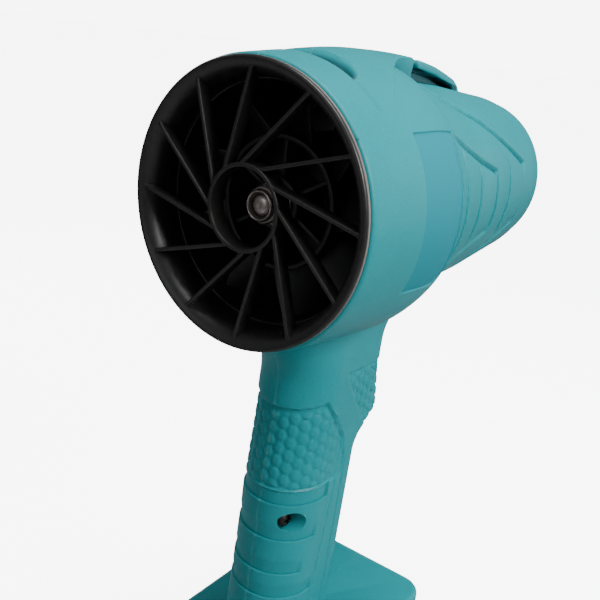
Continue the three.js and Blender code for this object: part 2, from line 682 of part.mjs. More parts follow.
function triggerSpring() {
  const start = [SWITCH_FRONT + GAP + 0.9, 0, STEM_Z + 10];
  const length = CHEEK_X - WALL - 7 - SWITCH_FRONT - 2 * GAP - 1.8;
  piece("trigger_spring", coilSpring(start, [1, 0, 0], length, 3, 0.5, 5), STEEL);
}

function switchBody() {
  const body = box(SWITCH_BACK, SWITCH_FRONT, -9, 9, SWITCH_LOW, SWITCH_TOP);
  const depth = TRIGGER_TRAVEL + 3;
  const socket = box(SWITCH_FRONT - depth, SWITCH_FRONT + 1, -3 - GAP, 3 + GAP, STEM_Z - 4 - GAP, STEM_Z + 4 + GAP);
  piece("switch_body", body.subtract(socket), BLACK);
}

function controlBoard() {
  const board = box(BOARD_X, BOARD_X + BOARD_T, -BOARD_HALF, BOARD_HALF, BOARD_LOW, BOARD_HIGH);
  const sink = box(BOARD_X + 1.5, BOARD_X + 7, -10, 10, BOARD_LOW + 30, BOARD_HIGH - 4);
  const capacitor = post(BOARD_X + 7.5, 0, 6, BOARD_LOW + 3, BOARD_LOW + 24);
  piece("control_board", joined(board, sink, capacitor), GREEN);
}

function leads() {
  const x = STRUT_X + 6;
  const points = [
    [x, 0, -STATOR_R - 1.2],
    [x, 0, -DUCT_R - 6],
    [x - 8, 6, -DUCT_R - 14],
    [SWITCH_BACK - 5, 8, SWITCH_TOP - 8],
    [SWITCH_BACK - 5, 6, SWITCH_LOW - 2],
    [BOARD_X + BOARD_T / 2, 4, BOARD_HIGH + 8],
    [BOARD_X + BOARD_T / 2, 4, BOARD_HIGH + 2 * GAP],
  ];
  const curve = new THREE.CatmullRomCurve3(points.map((p) => new THREE.Vector3(...p)));
  piece("motor_leads", swept(curve, LEAD_R, 20), COPPER);
  const backScrew = SCREWS[1];
  const pastBoss = backScrew.x + SCREW_WELL_R + SCREW_BOSS_T + LEAD_R + 1 + GAP;
  const drop = [
    [BOARD_X + BOARD_T / 2, 0, BOARD_LOW - 2 * GAP],
    [pastBoss + 2, 0, Math.min(BOARD_LOW - 12, backScrew.z + 12)],
    [pastBoss, 0, backScrew.z],
    [FOOT_BACK + 24, 0, FOOT_TOP - WALL - 2],
  ];
  const battery = new THREE.CatmullRomCurve3(drop.map((p) => new THREE.Vector3(...p)));
  piece("battery_leads", swept(battery, LEAD_R, 12), COPPER);
}

// ---- Battery terminals in the foot -----------------------------------------------------------
const BLOCK_X = FOOT_BACK + WALL + GAP;
const BLOCK_T = 10;
const BLADE_LENGTH = 14;
const BLADE_Y = 12;
const DECK_TOP = FOOT_TOP - WALL - GAP; // highest the battery reaches inside the foot
const BLADE_Z = DECK_TOP - 6;

function terminals() {
  const block = box(BLOCK_X, BLOCK_X + BLOCK_T, -22, 22, FOOT_BOTTOM + 3, DECK_TOP - 3);
  const groove = (y) => box(BLOCK_X + 2, BLOCK_X + BLOCK_T + 1, y - 0.7, y + 0.7, BLADE_Z - 4.3, BLADE_Z + 4.3);
  piece("terminal_block", block.subtract(joined(groove(-BLADE_Y), groove(BLADE_Y))), BLACK);
  for (const [name, y] of [["terminal_positive", BLADE_Y], ["terminal_negative", -BLADE_Y]]) {
    const end = BLOCK_X + BLOCK_T + BLADE_LENGTH;
    piece(name, box(BLOCK_X + 2 + GAP, end, y - 0.4, y + 0.4, BLADE_Z - 4, BLADE_Z + 4), COPPER);
  }
}

// ---- Battery pack ----------------------------------------------------------------------------
const PACK_HALF = FOOT_HALF - 0.5;
const PACK_BACK = FOOT_BACK + 0.5;
const PACK_FRONT = FOOT_FRONT - 0.5;
const DECK_BACK = BLOCK_X + BLOCK_T + GAP;
const SPLIT_Z = PACK_BOTTOM + PACK_SPLIT;
const BUTTON_BACK = PACK_FRONT - 8;
const TOWER_BACK = PACK_BACK + TOWER_IN;
const TOWER_FRONT = PACK_FRONT - TOWER_IN;
const PACK_SCREWS = [[TOWER_BACK, -1], [TOWER_BACK, 1], [TOWER_FRONT, -1], [TOWER_FRONT, 1]];
const PACK_SCREW_Y = PACK_HALF - 8;
const PACK_SCREW_R = 1.3;

// The deck slides over the foot's rails: a neck between them and a wider flange above them.
function deck() {
  const channel = FOOT_HALF - WALL - 0.4 - GAP;
  const neck = channel - RAIL_REACH;
  const low = box(DECK_BACK, PACK_FRONT - 2, -neck, neck, PACK_TOP - 3, DECK_TOP);
  const flange = box(DECK_BACK, PACK_FRONT - 2, -channel, channel, FOOT_BOTTOM + RAIL_T + GAP, DECK_TOP);
  const slit = (y) => {
    const end = BLOCK_X + BLOCK_T + BLADE_LENGTH + 2;
    return box(DECK_BACK - 1, end, y - 1.2, y + 1.2, BLADE_Z - 5.5, DECK_TOP + 1);
  };
  const leadRoom = box(DECK_BACK - 1, FOOT_BACK + 32, -4, 4, DECK_TOP - 5, DECK_TOP + 1);
  return joined(low, flange).subtract(joined(slit(BLADE_Y), slit(-BLADE_Y), leadRoom));
}

function packShell(z0, z1) {
  return plateZ(roundedRect(PACK_BACK, PACK_FRONT, PACK_HALF, FOOT_CORNER), z0, z1);
}

function packRoom(z0, z1) {
  const inner = roundedRect(PACK_BACK + PACK_WALL, PACK_FRONT - PACK_WALL, PACK_HALF - PACK_WALL, FOOT_CORNER - 2);
  return plateZ(inner, z0, z1);
}

function packPost(x, side, r, z0, z1) {
  return post(x, side * PACK_SCREW_Y, r, z0, z1);
}

const BUTTON_LOW = SPLIT_Z + 7;
const BUTTON_SILL = BUTTON_LOW + 0.5; // the pack's front wall hides the spring up to here
const BUTTON_FLOOR = BUTTON_LOW - BUTTON_TRAVEL - 1;

// The button slides in a well behind the pack's front wall and shows through its upper part.
function buttonWell() {
  const half = BUTTON_HALF;
  const behind = box(BUTTON_BACK, PACK_FRONT - PACK_WALL, -half, half, BUTTON_FLOOR, DECK_TOP + 2);
  return behind.add(box(BUTTON_BACK, PACK_FRONT + 5, -half, half, BUTTON_SILL, DECK_TOP + 2));
}

function buttonWellWall() {
  const half = BUTTON_HALF + 1.8;
  return box(BUTTON_BACK - 1.8, PACK_FRONT + 5, -half, half, BUTTON_FLOOR - 1.8, PACK_TOP - 1);
}

function batteryCover() {
  const low = SPLIT_Z + GAP / 2;
  const posts = joined(...PACK_SCREWS.map(([x, s]) => packPost(x, s, TOWER_R, low, PACK_TOP - 1)));
  const pilots = joined(...PACK_SCREWS.map(([x, s]) => packPost(x, s, PACK_SCREW_R + GAP, low - 1, PACK_TOP - 8)));
  const room = packRoom(low - 1, PACK_TOP - PACK_WALL).subtract(posts);
  const shell = packShell(low, PACK_TOP).subtract(room);
  const lined = joined(shell, buttonWellWall().intersect(packShell(low, PACK_TOP)), deck());
  piece("battery_cover", lined.subtract(buttonWell()).subtract(pilots), BLACK);
}

function batteryBase() {
  const high = SPLIT_Z - GAP / 2;
  const shell = packShell(PACK_BOTTOM, high).subtract(packRoom(PACK_BOTTOM + PACK_WALL, high + 1));
  const posts = joined(...PACK_SCREWS.map(([x, s]) => packPost(x, s, TOWER_R, PACK_BOTTOM + 1, high)));
  const wells = joined(...PACK_SCREWS.map(([x, s]) => packPost(x, s, 2.5, PACK_BOTTOM - 1, high - 6)));
  const holes = joined(...PACK_SCREWS.map(([x, s]) => packPost(x, s, PACK_SCREW_R + GAP, PACK_BOTTOM, high + 1)));
  piece("battery_base", joined(shell, posts).subtract(joined(wells, holes)), BLACK);
}

function packScrews() {
  PACK_SCREWS.forEach(([x, side], i) => {
    const seat = SPLIT_Z - GAP / 2 - 6 - GAP;
    const head = packPost(x, side, 2.2, seat - 2, seat);
    const shank = packPost(x, side, PACK_SCREW_R, seat - 1, SPLIT_Z + 8);
    const drive = solid(new THREE.CylinderGeometry(1.2, 1.2, 1.4, 6).rotateX(Math.PI / 2)
      .translate(x, side * PACK_SCREW_Y, seat - 2));
    piece("battery_screw_" + (i + 1), joined(head, shank).subtract(drive), STEEL);
  });
}

function cells() {
  const pitch = 2 * CELL_R + GAP;
  const startX = TOWER_BACK + TOWER_R + GAP + CELL_R;
  const startZ = PACK_BOTTOM + PACK_WALL + GAP + CELL_R;
  let count = 0;
  for (let row = 0; row < CELL_ROWS; row += 1) {
    for (let column = 0; column < CELL_COLUMNS; column += 1) {
      count += 1;
      const x = startX + column * pitch;
      const z = startZ + row * pitch;
      piece("battery_cell_" + count, peg(x, z, CELL_R, -CELL_LENGTH / 2, CELL_LENGTH / 2, 18), WRAP);
    }
  }
}

function releaseButton() {
  const lip = 0.5;
  const x1 = PACK_FRONT - 0.2;
  const half = BUTTON_HALF - lip;
  const body = box(BUTTON_BACK + lip, PACK_FRONT - PACK_WALL - lip, -half, half, BUTTON_LOW, PACK_TOP - 1);
  const face = box(BUTTON_BACK + lip, x1, -half, half, BUTTON_SILL + BUTTON_TRAVEL + lip, PACK_TOP - 1);
  const scoop = peg(x1 + 4, BUTTON_LOW + 12, 6, -BUTTON_HALF + 4, BUTTON_HALF - 4);
  const latch = box(BUTTON_BACK + lip, BUTTON_BACK + 5, -8, 8, PACK_TOP - 2, FOOT_TOP - WALL - 3);
  piece("battery_release_button", joined(body, face, latch).subtract(scoop), BLACK);
  const start = [(BUTTON_BACK + PACK_FRONT - PACK_WALL) / 2, 0, BUTTON_FLOOR + GAP + 0.5];
  const length = BUTTON_TRAVEL + 1 - 2 * GAP - 1;
  piece("release_spring", coilSpring(start, [0, 0, 1], length, 2, 0.4, 3), STEEL);
}

// ---- Housing screws --------------------------------------------------------------------------
function housingScrews() {
  SCREWS.forEach((s, i) => {
    const seat = -SCREW_HEAD_Y - GAP;
    const head = peg(s.x, s.z, SCREW_HEAD_R, seat - 2.4, seat);
    const shank = peg(s.x, s.z, SCREW_R, seat - 1, 11, 12);
    const drive = peg(s.x, s.z, 1.6, seat - 3, seat - 1, 6);
    piece("housing_screw_" + (i + 1), joined(head, shank).subtract(drive), STEEL);
  });
}

housingHalves();
intakeGuard();
impeller();
impellerFixing();
motorShaft();
bearing("front_bearing", FRONT_BEARING_X);
bearing("back_bearing", BACK_BEARING_X);
rotor();
stator();
fanDuct();
tailCone();
outletRing();
trigger();
triggerSpring();
switchBody();
controlBoard();
leads();
terminals();
batteryCover();
batteryBase();
packScrews();
cells();
releaseButton();
housingScrews();

export default blower;
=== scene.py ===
# Cordless car dryer blower: its finished look, built round the frame of its solid parts.
# Shapes are worked out in millimetres from the airflow axis at the intake lip, with +X the way the
# air goes and Z up, and placed() turns them into metres in the object's frame.
import math

import bmesh
import bpy
import numpy as np
from mathutils import Matrix, Vector


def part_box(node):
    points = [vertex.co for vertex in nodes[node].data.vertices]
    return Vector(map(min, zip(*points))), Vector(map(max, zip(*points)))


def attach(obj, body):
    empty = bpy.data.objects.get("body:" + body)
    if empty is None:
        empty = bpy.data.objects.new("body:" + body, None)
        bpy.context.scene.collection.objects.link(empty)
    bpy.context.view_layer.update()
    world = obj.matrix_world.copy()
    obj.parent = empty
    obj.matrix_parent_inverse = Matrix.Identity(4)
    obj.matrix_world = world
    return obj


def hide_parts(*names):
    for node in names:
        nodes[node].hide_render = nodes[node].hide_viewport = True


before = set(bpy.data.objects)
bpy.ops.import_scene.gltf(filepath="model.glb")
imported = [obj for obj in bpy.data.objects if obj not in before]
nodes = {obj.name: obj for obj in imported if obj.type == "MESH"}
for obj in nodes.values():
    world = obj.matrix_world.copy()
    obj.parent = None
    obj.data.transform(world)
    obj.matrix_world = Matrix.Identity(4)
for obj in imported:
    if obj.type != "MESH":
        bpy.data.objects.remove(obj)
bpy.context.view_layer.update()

# ---- Housing halves -----------------------------------------------------------------------------
# Two moulded halves in satin teal plastic that meet on the middle plane, held by screws from the
# right. Barrel, hook, grip and foot are shaped one by one, joined, hollowed and then cut in two.

guard_low, guard_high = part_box("intake_guard")
LIP_X = guard_low[0]
AXIS_Z = (guard_low[2] + guard_high[2]) / 2
TEAL_START = 3.0  # where the halves begin, behind the black ring
SHELL_RADIUS = 51.8
SHOULDER = 66.0  # where the shell steps down to the nozzle
TONGUE_END = 97.0
NOZZLE_RADIUS = 52.4
RIM = 188.0
RIM_RADIUS = 37.8
WALL = 2.6
FOOT_TOP = -208.8
FOOT_LOW = -227.8
SEAM = 0.04  # half the gap between the halves
PANEL_X = (33.5, 63.5)
PANEL_ANGLES = (54.5, 116.0)  # degrees from the top
PANEL_DEEP = 0.5
POCKET_X = 21.0
POCKET_LONG = 13.0
POCKET_DEEP = 6.4
POCKET_ANGLE = 29.0
CROSS_LINES = (80, 100, 120, 138)  # where the nozzle's moulded lines run across it


def placed(points):
    """Millimetres from the airflow axis at the lip, to metres in the object's frame."""
    points = np.asarray(points, dtype=float)
    return points * 0.001 + np.array([LIP_X, 0.0, AXIS_Z])


def linked(name, data):
    """A new object in the scene that shows this mesh, camera or light."""
    obj = bpy.data.objects.new(name, data)
    bpy.context.scene.collection.objects.link(obj)
    return obj


def new_object(name, points, faces, smooth=True):
    mesh = bpy.data.meshes.new(name)
    mesh.from_pydata(placed(points).tolist(), [], faces)
    mesh.update()
    if smooth:
        mesh.shade_smooth()
    return linked(name, mesh)


def outward(obj):
    """Merges doubles and turns every face outwards."""
    bm = bmesh.new()
    bm.from_mesh(obj.data)
    bmesh.ops.remove_doubles(bm, verts=bm.verts, dist=1e-7)
    bmesh.ops.recalc_face_normals(bm, faces=bm.faces)
    bm.to_mesh(obj.data)
    bm.free()
    return obj


def ring_faces(count, around, closed=False):
    """Quads between rings of points that follow each other; closed joins the last to the first."""
    faces = []
    for i in range(count if closed else count - 1):
        n = (i + 1) % count
        for j in range(around):
            k = (j + 1) % around
            faces.append((i * around + j, i * around + k, n * around + k, n * around + j))
    return faces


def tube_solid(name, rings, smooth=True):
    """Closed rings of points, one after another, with a cap at each end."""
    rings = np.asarray(rings, dtype=float)
    count, around = rings.shape[:2]
    points = rings.reshape(-1, 3)
    faces = ring_faces(count, around)
    first, last = len(points), len(points) + 1
    points = np.vstack([points, rings[0].mean(axis=0), rings[-1].mean(axis=0)])
    base = (count - 1) * around
    for j in range(around):
        k = (j + 1) % around
        faces.append((first, k, j))
        faces.append((last, base + j, base + k))
    return outward(new_object(name, points, faces, smooth))


def full_turn(steps):
    return np.linspace(0, 2 * math.pi, steps, endpoint=False)


def turned_solid(name, profile, segments=96):
    """A closed [x, radius] profile, turned round the airflow axis."""
    rings = [[(x, r * math.sin(a), r * math.cos(a)) for x, r in profile] for a in full_turn(segments)]
    points = np.array(rings, dtype=float).reshape(-1, 3)
    return outward(new_object(name, points, ring_faces(segments, len(profile), closed=True)))


def box_solid(name, x0, x1, y0, y1, z0, z1):
    corners = [(x, y, z) for x in (x0, x1) for y in (y0, y1) for z in (z0, z1)]
    faces = [(0, 1, 3, 2), (4, 6, 7, 5), (0, 4, 5, 1), (2, 3, 7, 6), (0, 2, 6, 4), (1, 5, 7, 3)]
    return outward(new_object(name, corners, faces, smooth=False))


def drum_y(name, x, z, radius, y0, y1, segments=48):
    """A round bar that lies across the object."""
    circle = [(x + radius * math.cos(a), z + radius * math.sin(a)) for a in full_turn(segments)]
    return tube_solid(name, [[(px, y, pz) for px, pz in circle] for y in (y0, y1)])


def settled(obj):
    """Applies the modifiers of an object, which then keeps a plain mesh."""
    bpy.context.view_layer.update()
    graph = bpy.context.evaluated_depsgraph_get()
    mesh = bpy.data.meshes.new_from_object(obj.evaluated_get(graph))
    obj.modifiers.clear()
    old, obj.data = obj.data, mesh
    bpy.data.meshes.remove(old)
    return obj


def cut_or_join(base, operation, others):
    """base with the others joined on or cut away, as one plain mesh; the others are used up."""
    for other in others:
        modifier = base.modifiers.new("join", "BOOLEAN")
        modifier.operation = operation
        modifier.solver = "MANIFOLD"
        modifier.object = other
    settled(base)
    for other in others:
        bpy.data.meshes.remove(other.data)
    return base


def soft_step(value, low, high):
    """Rises smoothly from 0 at low to 1 at high."""
    t = np.clip((value - low) / (high - low), 0, 1)
    return t * t * (3 - 2 * t)


def shell_radius(x):
    """Side of the shell: out to its fattest and slightly in again at the shoulder."""
    t = np.clip((x - TEAL_START) / (SHOULDER - TEAL_START), 0, 1)
    return SHELL_RADIUS + 3.9 * np.sin(t * math.pi / 2) - 2.4 * np.clip((x - 46) / 20, 0, 1) ** 2


def tongue_radius(x):
    """Top of the shell, which rises out of its side and runs on over the nozzle as a tongue."""
    t = np.clip((x - TEAL_START) / 55, 0, 1)
    risen = SHELL_RADIUS + 4.5 * np.sin(t * math.pi / 2) - 1.0 * np.clip((x - 70) / 27, 0, 1) ** 2
    side = shell_radius(x)
    return side + (risen - side) * soft_step(x, 24, 60)


def cone_radius(x):
    """The nozzle: flared where it leaves the shell, slightly full in its middle."""
    flare = 4.2
    left = 1 - (x - SHOULDER) / (RIM - SHOULDER)
    belly = 1.1 * soft_step(x, 100, 126) * (1 - soft_step(x, 172, RIM))
    return RIM_RADIUS + (NOZZLE_RADIUS - RIM_RADIUS - flare) * left + flare * left**6 + belly


def tongue_half(x):
    """Half width of the tongue, in millimetres, narrowing towards its end."""
    return 7 + 34 * np.clip((TONGUE_END - x) / 70, 0, 1) ** 1.6


def rounded_edge(distance, radius):
    """How far a surface drops at this distance in from a rounded edge."""
    d = np.clip(distance, 0, radius)
    return radius - np.sqrt(np.maximum(radius**2 - (radius - d) ** 2, 0))


def nozzle_lines(x, below):
    """Depth of the stepped lines moulded into each side of the nozzle; below is degrees from level."""
    scale = cone_radius(x) * math.pi / 180
    outer = 60 - 0.66 * (x - 99)  # the two stepped lines, in degrees from level
    inner = 28 - 0.42 * (x - 94)
    depth = np.zeros_like(x)
    for edge, start, end, size in ((outer, 84, 160, 1.3), (inner, 69, 120, 1.15)):
        inside = (edge - np.abs(below)) * scale
        reach = soft_step(x, start, start + 10) * (1 - soft_step(x, end - 1.5, end))
        step = soft_step(inside, -0.7, 0.7) * np.exp(-np.clip(inside, 0, 50) / 3.2)
        crease = 0.9 * (below < 0) * np.exp(-(((inside - 0.9) / 0.9) ** 2))
        depth = np.maximum(depth, reach * (size * step + crease))
    for at, limit in zip(CROSS_LINES, (inner, inner, inner, outer - 9)):
        behind = at - x
        reach = soft_step((limit - np.abs(below)) * scale, 0.0, 2.5)
        step = soft_step(behind, -0.4, 0.4) * np.exp(-np.clip(behind, 0, 60) / 5.5)
        depth = np.maximum(depth, 0.75 * reach * step)
    return depth


def barrel_rows():
    """Where the barrel's rings lie: closer on both sides of every step and edge."""
    rows = np.arange(TEAL_START, RIM, 1.05).tolist()
    for at in (POCKET_X, *PANEL_X, SHOULDER, *CROSS_LINES, TONGUE_END):
        rows = [x for x in rows if abs(x - at) > 0.75]
        rows += [at - 0.7, at - 0.25, at + 0.25, at + 0.7]
    rows += [TEAL_START + d for d in (0.1, 0.35, 0.75)]
    rows += [SHOULDER - d for d in (0.45, 0.12)]
    rows += [TONGUE_END - d for d in (1.2, 0.45, 0.12)]
    rows += [RIM - d for d in (1.4, 0.9, 0.5, 0.2, 0.05)] + [RIM]
    return np.array(sorted(set(round(x, 3) for x in rows)))


def barrel_columns(x):
    """Angles from the top, in degrees, for one row: they follow the edge of the tongue."""
    half = tongue_half(x)
    reach = tongue_radius(x)
    edge = math.degrees(math.asin(min(half / reach, 0.98)))
    mm = math.degrees(1 / reach)
    inner = np.linspace(0.9 * mm, edge - 1.7 * mm, 34)
    near = edge - np.array([1.2, 0.8, 0.45, 0.2, 0.0]) * mm
    foot = [edge + 0.12 * mm, edge + 0.9 * mm]
    top, low = PANEL_ANGLES
    above = np.linspace(edge + 1.9 * mm, top - 0.25, 38)
    beside = np.linspace(top + 0.25, low - 0.25, 58)
    below = np.linspace(low + 0.25, 180 - 0.9 * mm, 58)
    seam = 0.35 * mm
    parts = [[0.0, seam], inner, near, foot, above, beside, below, [180 - seam, 180.0]]
    return np.concatenate(parts), edge


def barrel_solid():
    """The barrel, ring by ring: shell, tongue, nozzle, and what is sunk into them."""
    round_over, rim_round = 1.2, 1.4
    rings = []
    for x in barrel_rows():
        angles, edge = barrel_columns(x)
        mm = math.degrees(1 / tongue_radius(x))
        inside = (edge - angles) / mm
        on_tongue = inside > -0.06
        side = shell_radius(x) if x <= SHOULDER else cone_radius(x)
        top = tongue_radius(x) - rounded_edge(inside, 1.1) * min(1, max(0, (x - 30) / 30))
        if SHOULDER - round_over < x <= SHOULDER:
            side = side - rounded_edge(SHOULDER - x, round_over)
        if x > TONGUE_END:
            top = np.full_like(angles, cone_radius(x))
        elif x > TONGUE_END - round_over:
            top = top - rounded_edge(TONGUE_END - x, round_over)
        radius = np.where(on_tongue, np.maximum(top, side), side)
        if x > SHOULDER:
            bare = ~(on_tongue & (x <= TONGUE_END))
            radius = radius - nozzle_lines(np.full_like(angles, x), angles - 90) * bare
        if PANEL_X[0] < x < PANEL_X[1]:
            radius = radius - PANEL_DEEP * ((angles > PANEL_ANGLES[0]) & (angles < PANEL_ANGLES[1]))
        if POCKET_X < x < POCKET_X + POCKET_LONG:
            length = np.sqrt(np.clip(1 - (angles / POCKET_ANGLE) ** 2, 0, 1))
            ramp = np.clip(1 - (x - POCKET_X) / (POCKET_LONG * np.maximum(length, 0.05)), 0, 1)
            radius = radius - POCKET_DEEP * ramp**0.75 * soft_step(length, 0, 0.5)
        radius = radius - rounded_edge(x - TEAL_START, round_over)
        radius = radius - rounded_edge(RIM - x, rim_round)
        across = radius * np.sin(np.radians(angles))
        radius = radius - 0.12 * np.clip(1 - across / 0.4, 0, 1)
        a = np.radians(angles)
        half = np.stack([np.full_like(a, x), radius * np.sin(a), radius * np.cos(a)], axis=1)
        other = half[-2:0:-1] * np.array([1, -1, 1])
        rings.append(np.vstack([half, other]))
    return tube_solid("barrel", rings)


HOOK_START = 103.0
HOOK_END = 147.2
HOOK_HALF = 6.0
HOOK_THICK = 3.6


def hook_top(x):
    """The bar's upper line, which bends down at its free end."""
    t = (x - HOOK_START) / (RIM - HOOK_START)
    drop = np.interp(x, [120, 130, 140, 144, 146, HOOK_END], [0, 0.6, 1.3, 2.7, 4.3, 6.4])
    return 54.4 - 10 * t - 8 * t * t - drop


def hook_rib():
    """A low rib moulded along the nozzle's top, under the bar and clear of it."""
    start, end, under_bar = HOOK_START + 1, 142, 4.8
    rings = []
    for x in np.linspace(start, end, 30):
        high = hook_top(x) - under_bar - 1.8 * (1 - soft_step(x, start, start + 2))
        low = cone_radius(x) - 1.5
        side = [(2.2, low), (1.9, high - 0.5), (1.3, high)]
        rings.append([(x, y, z) for y, z in side + [(-y, z) for y, z in side[::-1]]])
    return tube_solid("hook_rib", rings)


def hook_solid():
    """A flat bar that leaves the nozzle in front and comes back over it, open at the rear."""
    rows = [HOOK_START + d for d in (0, 0.12, 0.4, 0.9, 1.6)] + np.linspace(105.5, HOOK_END, 56).tolist()
    rings = []
    for x in rows:
        inset = float(rounded_edge(x - HOOK_START, 1.6))
        high = max(hook_top(x), cone_radius(x) - 0.9) - inset
        lip = 7.5 * float(soft_step(x, 137, 145))
        low = min(hook_top(x) - HOOK_THICK - lip + inset, high - 0.4)
        half, corner = HOOK_HALF - inset, min(1.1, (high - low) / 2.01)
        ring = []
        for cx, cz, turn in ((half, high, 0), (half, low, 270), (-half, low, 180), (-half, high, 90)):
            for step in range(5):
                angle = math.radians(turn + 90 - step * 22.5)
                px = cx - math.copysign(corner, cx) + corner * math.cos(angle)
                pz = cz + (-corner if cz == high else corner) + corner * math.sin(angle)
                ring.append((x, px, pz))
        rings.append(ring)
    return tube_solid("hook", rings)


GRIP_HALF = 19.0
GRIP_LEAN = math.radians(4)
WEB_HALF = 12.0
CHEEK_FRONT = 90.0
PALM = 29.5
GRIP_PIVOT = -140.0
ROW_RISE = 0.085  # the moulded detail runs level, so it climbs across the leaned sections
PATCH_LOW = -122.0
# The palm's treads: top and ledge height, front end, depth, and 1 where the tread is flat.
TREADS = (
    (PATCH_LOW, -129.2, 52.3, 1.05, 1), (-139.2, -146.6, 47.2, 1.0, 0),
    (-156.4, -163.0, 42.0, 0.95, 0), (-168.8, -174.9, 51.0, 0.9, 0),
)


def grip_back(s):
    """Palm line: a slight swell, and a sweep back into the barrel at the top."""
    swell = 1.5 * np.exp(-(((s + 119) / 17) ** 2))
    return PALM + 0.4 - swell - 6.2 * np.clip((s + 77) / 15, 0, 2.2) ** 2


def grip_front(s):
    """Front line: the grip, the cheeks beside the trigger, and the web under the nozzle."""
    heights = [-112, -95, -63, -57, -51.7, -47.4, -43, -33]
    return np.interp(s, heights, [78, 90, 90, 95.5, 103.5, 114, 125.5, 135])


def grip_straight(s):
    """Where the flat of the side ends and the nose begins to round off."""
    heights = [-109, -105, -100, -95, -90, -82, -75, -68]
    return np.interp(s, heights, [66, 68, 74.5, 81.3, 80.5, 77.5, 75, 74])


def grip_section(s, inset=0.0, around=110, grow=0.0):
    """Half of one section, from the palm to the front, as x, y and the way along it."""
    half = GRIP_HALF - inset + grow
    back = grip_back(s) + inset - grow
    front = grip_front(s) - inset + grow
    if inset:
        front = min(front, CHEEK_FRONT - inset)
    belly = PALM + GRIP_HALF
    straight = grip_straight(s)
    palm = np.linspace(0, math.pi / 2, 40 * around // 110)
    xs = [belly - (belly - back) * np.cos(palm)]
    ys = [half * np.sin(palm)]
    side = np.linspace(belly, straight, 26 * around // 110)[1:]
    xs.append(side)
    ys.append(np.full_like(side, half))
    nose = np.linspace(0, math.pi / 2, 44 * around // 110)[1:]
    reach = straight + (front - straight) * np.sin(nose)
    cheek = min(front, CHEEK_FRONT - inset + grow) if s > -95 else front
    cheek_y = half * np.sqrt(np.clip(1 - ((reach - straight) / (cheek - straight)) ** 2, 0, 1))
    web = WEB_HALF - inset
    past = np.clip(reach - front + web, 0, web) / web
    web_y = web * np.sqrt(np.clip(1 - past**2, 0, 1)) * (front > cheek)
    xs.append(reach)
    ys.append(np.maximum(cheek_y, web_y))
    return np.concatenate(xs), np.concatenate(ys)


def hexagons(u, v, pitch):
    """Height of close-packed hexagon pads: 1 on a pad's crown, 0 in the grooves between pads."""
    du, dv = pitch * math.sqrt(3) / 2, pitch
    best = np.full_like(u, 9.0)
    for shift in (0, 1):
        cu = np.round((u / du - shift) / 2) * 2 + shift
        cv = np.round(v / dv - 0.5 * shift) + 0.5 * shift
        pu, pv = np.abs(u - cu * du), np.abs(v - cv * dv)
        best = np.minimum(best, np.maximum(pv, pv * 0.5 + pu * math.sqrt(3) / 2))
    d = best / (pitch / 2)
    return np.clip(2.4 * (1 - d), 0, 1)


def grip_depth(x, y, s, along):
    """How deep the grip's moulded detail goes at a point of its side; along is from the palm seam."""
    z = s + ROW_RISE * (x - PALM)
    top = np.where(x < 42.4, -86 + 0.33 * (x - PALM), -81.7 - 1.15 * (x - 42.4))
    top = np.where(x > 57.5, -99 - 2.9 * (x - 57.5), top)
    right = 58.4 - 0.087 * (-102.5 - z)
    patch = soft_step(top - z, -0.2, 0.5) * soft_step(s, PATCH_LOW - 0.6, PATCH_LOW + 0.1)
    patch = patch * (1 - soft_step(x, 61.2, 61.9))
    pads = hexagons(along, z, 5.6) * soft_step(top - z, 2.2, 3.2)
    pads = pads * (1 - soft_step(x, right - 3.5, right - 0.5))
    pads = pads * soft_step(s, PATCH_LOW, PATCH_LOW + 1.4)
    depth = patch * (1.15 - 0.62 * pads - 0.5 * soft_step(x, right - 2, right + 1.5))
    for start, ledge, end, deep, flat in TREADS:
        slope = np.clip((start - s) / (start - ledge), 0, 1) ** 0.8
        ramp = soft_step(-s, -start, -start + 1.2) if flat else slope
        here = ramp * (s > ledge + 0.02) * (1 - soft_step(x, end - 0.35, end + 0.35))
        depth = np.maximum(depth, deep * here)
    for line_top, line_low, x_top, x_low in ((-102.5, -196, 58.4, 50.6), (-108.5, -196, 62.3, 62.3)):
        line_x = x_top + (x_low - x_top) * (line_top - z) / (line_top - line_low)
        groove = np.exp(-(((x - line_x) / 0.55) ** 2)) * soft_step(-z, -line_top, -line_top + 3)
        depth = np.maximum(depth, 0.45 * groove * (y > GRIP_HALF - 3))
    return depth


def cheek_depth(x, y, z):
    """The second textured patch, on the cheek beside the trigger."""
    upper = -70.6 + 0.06 * (x - 52.8) - z
    back_edge = np.interp(-z, [66, 71, 78, 90, 101], [51, 53, 57.3, 66.6, 76.5])
    patch = soft_step(upper, 0, 0.6) * soft_step(x - back_edge, 0, 0.7) * soft_step(z, -103.5, -102.5)
    patch = patch * (y > 3) * (1 - soft_step(x, 86.0, 88.0))
    pads = hexagons(x * 1.05, z, 5.0)
    return patch * (1.05 - 0.8 * pads * soft_step(upper, 0.8, 2.0))


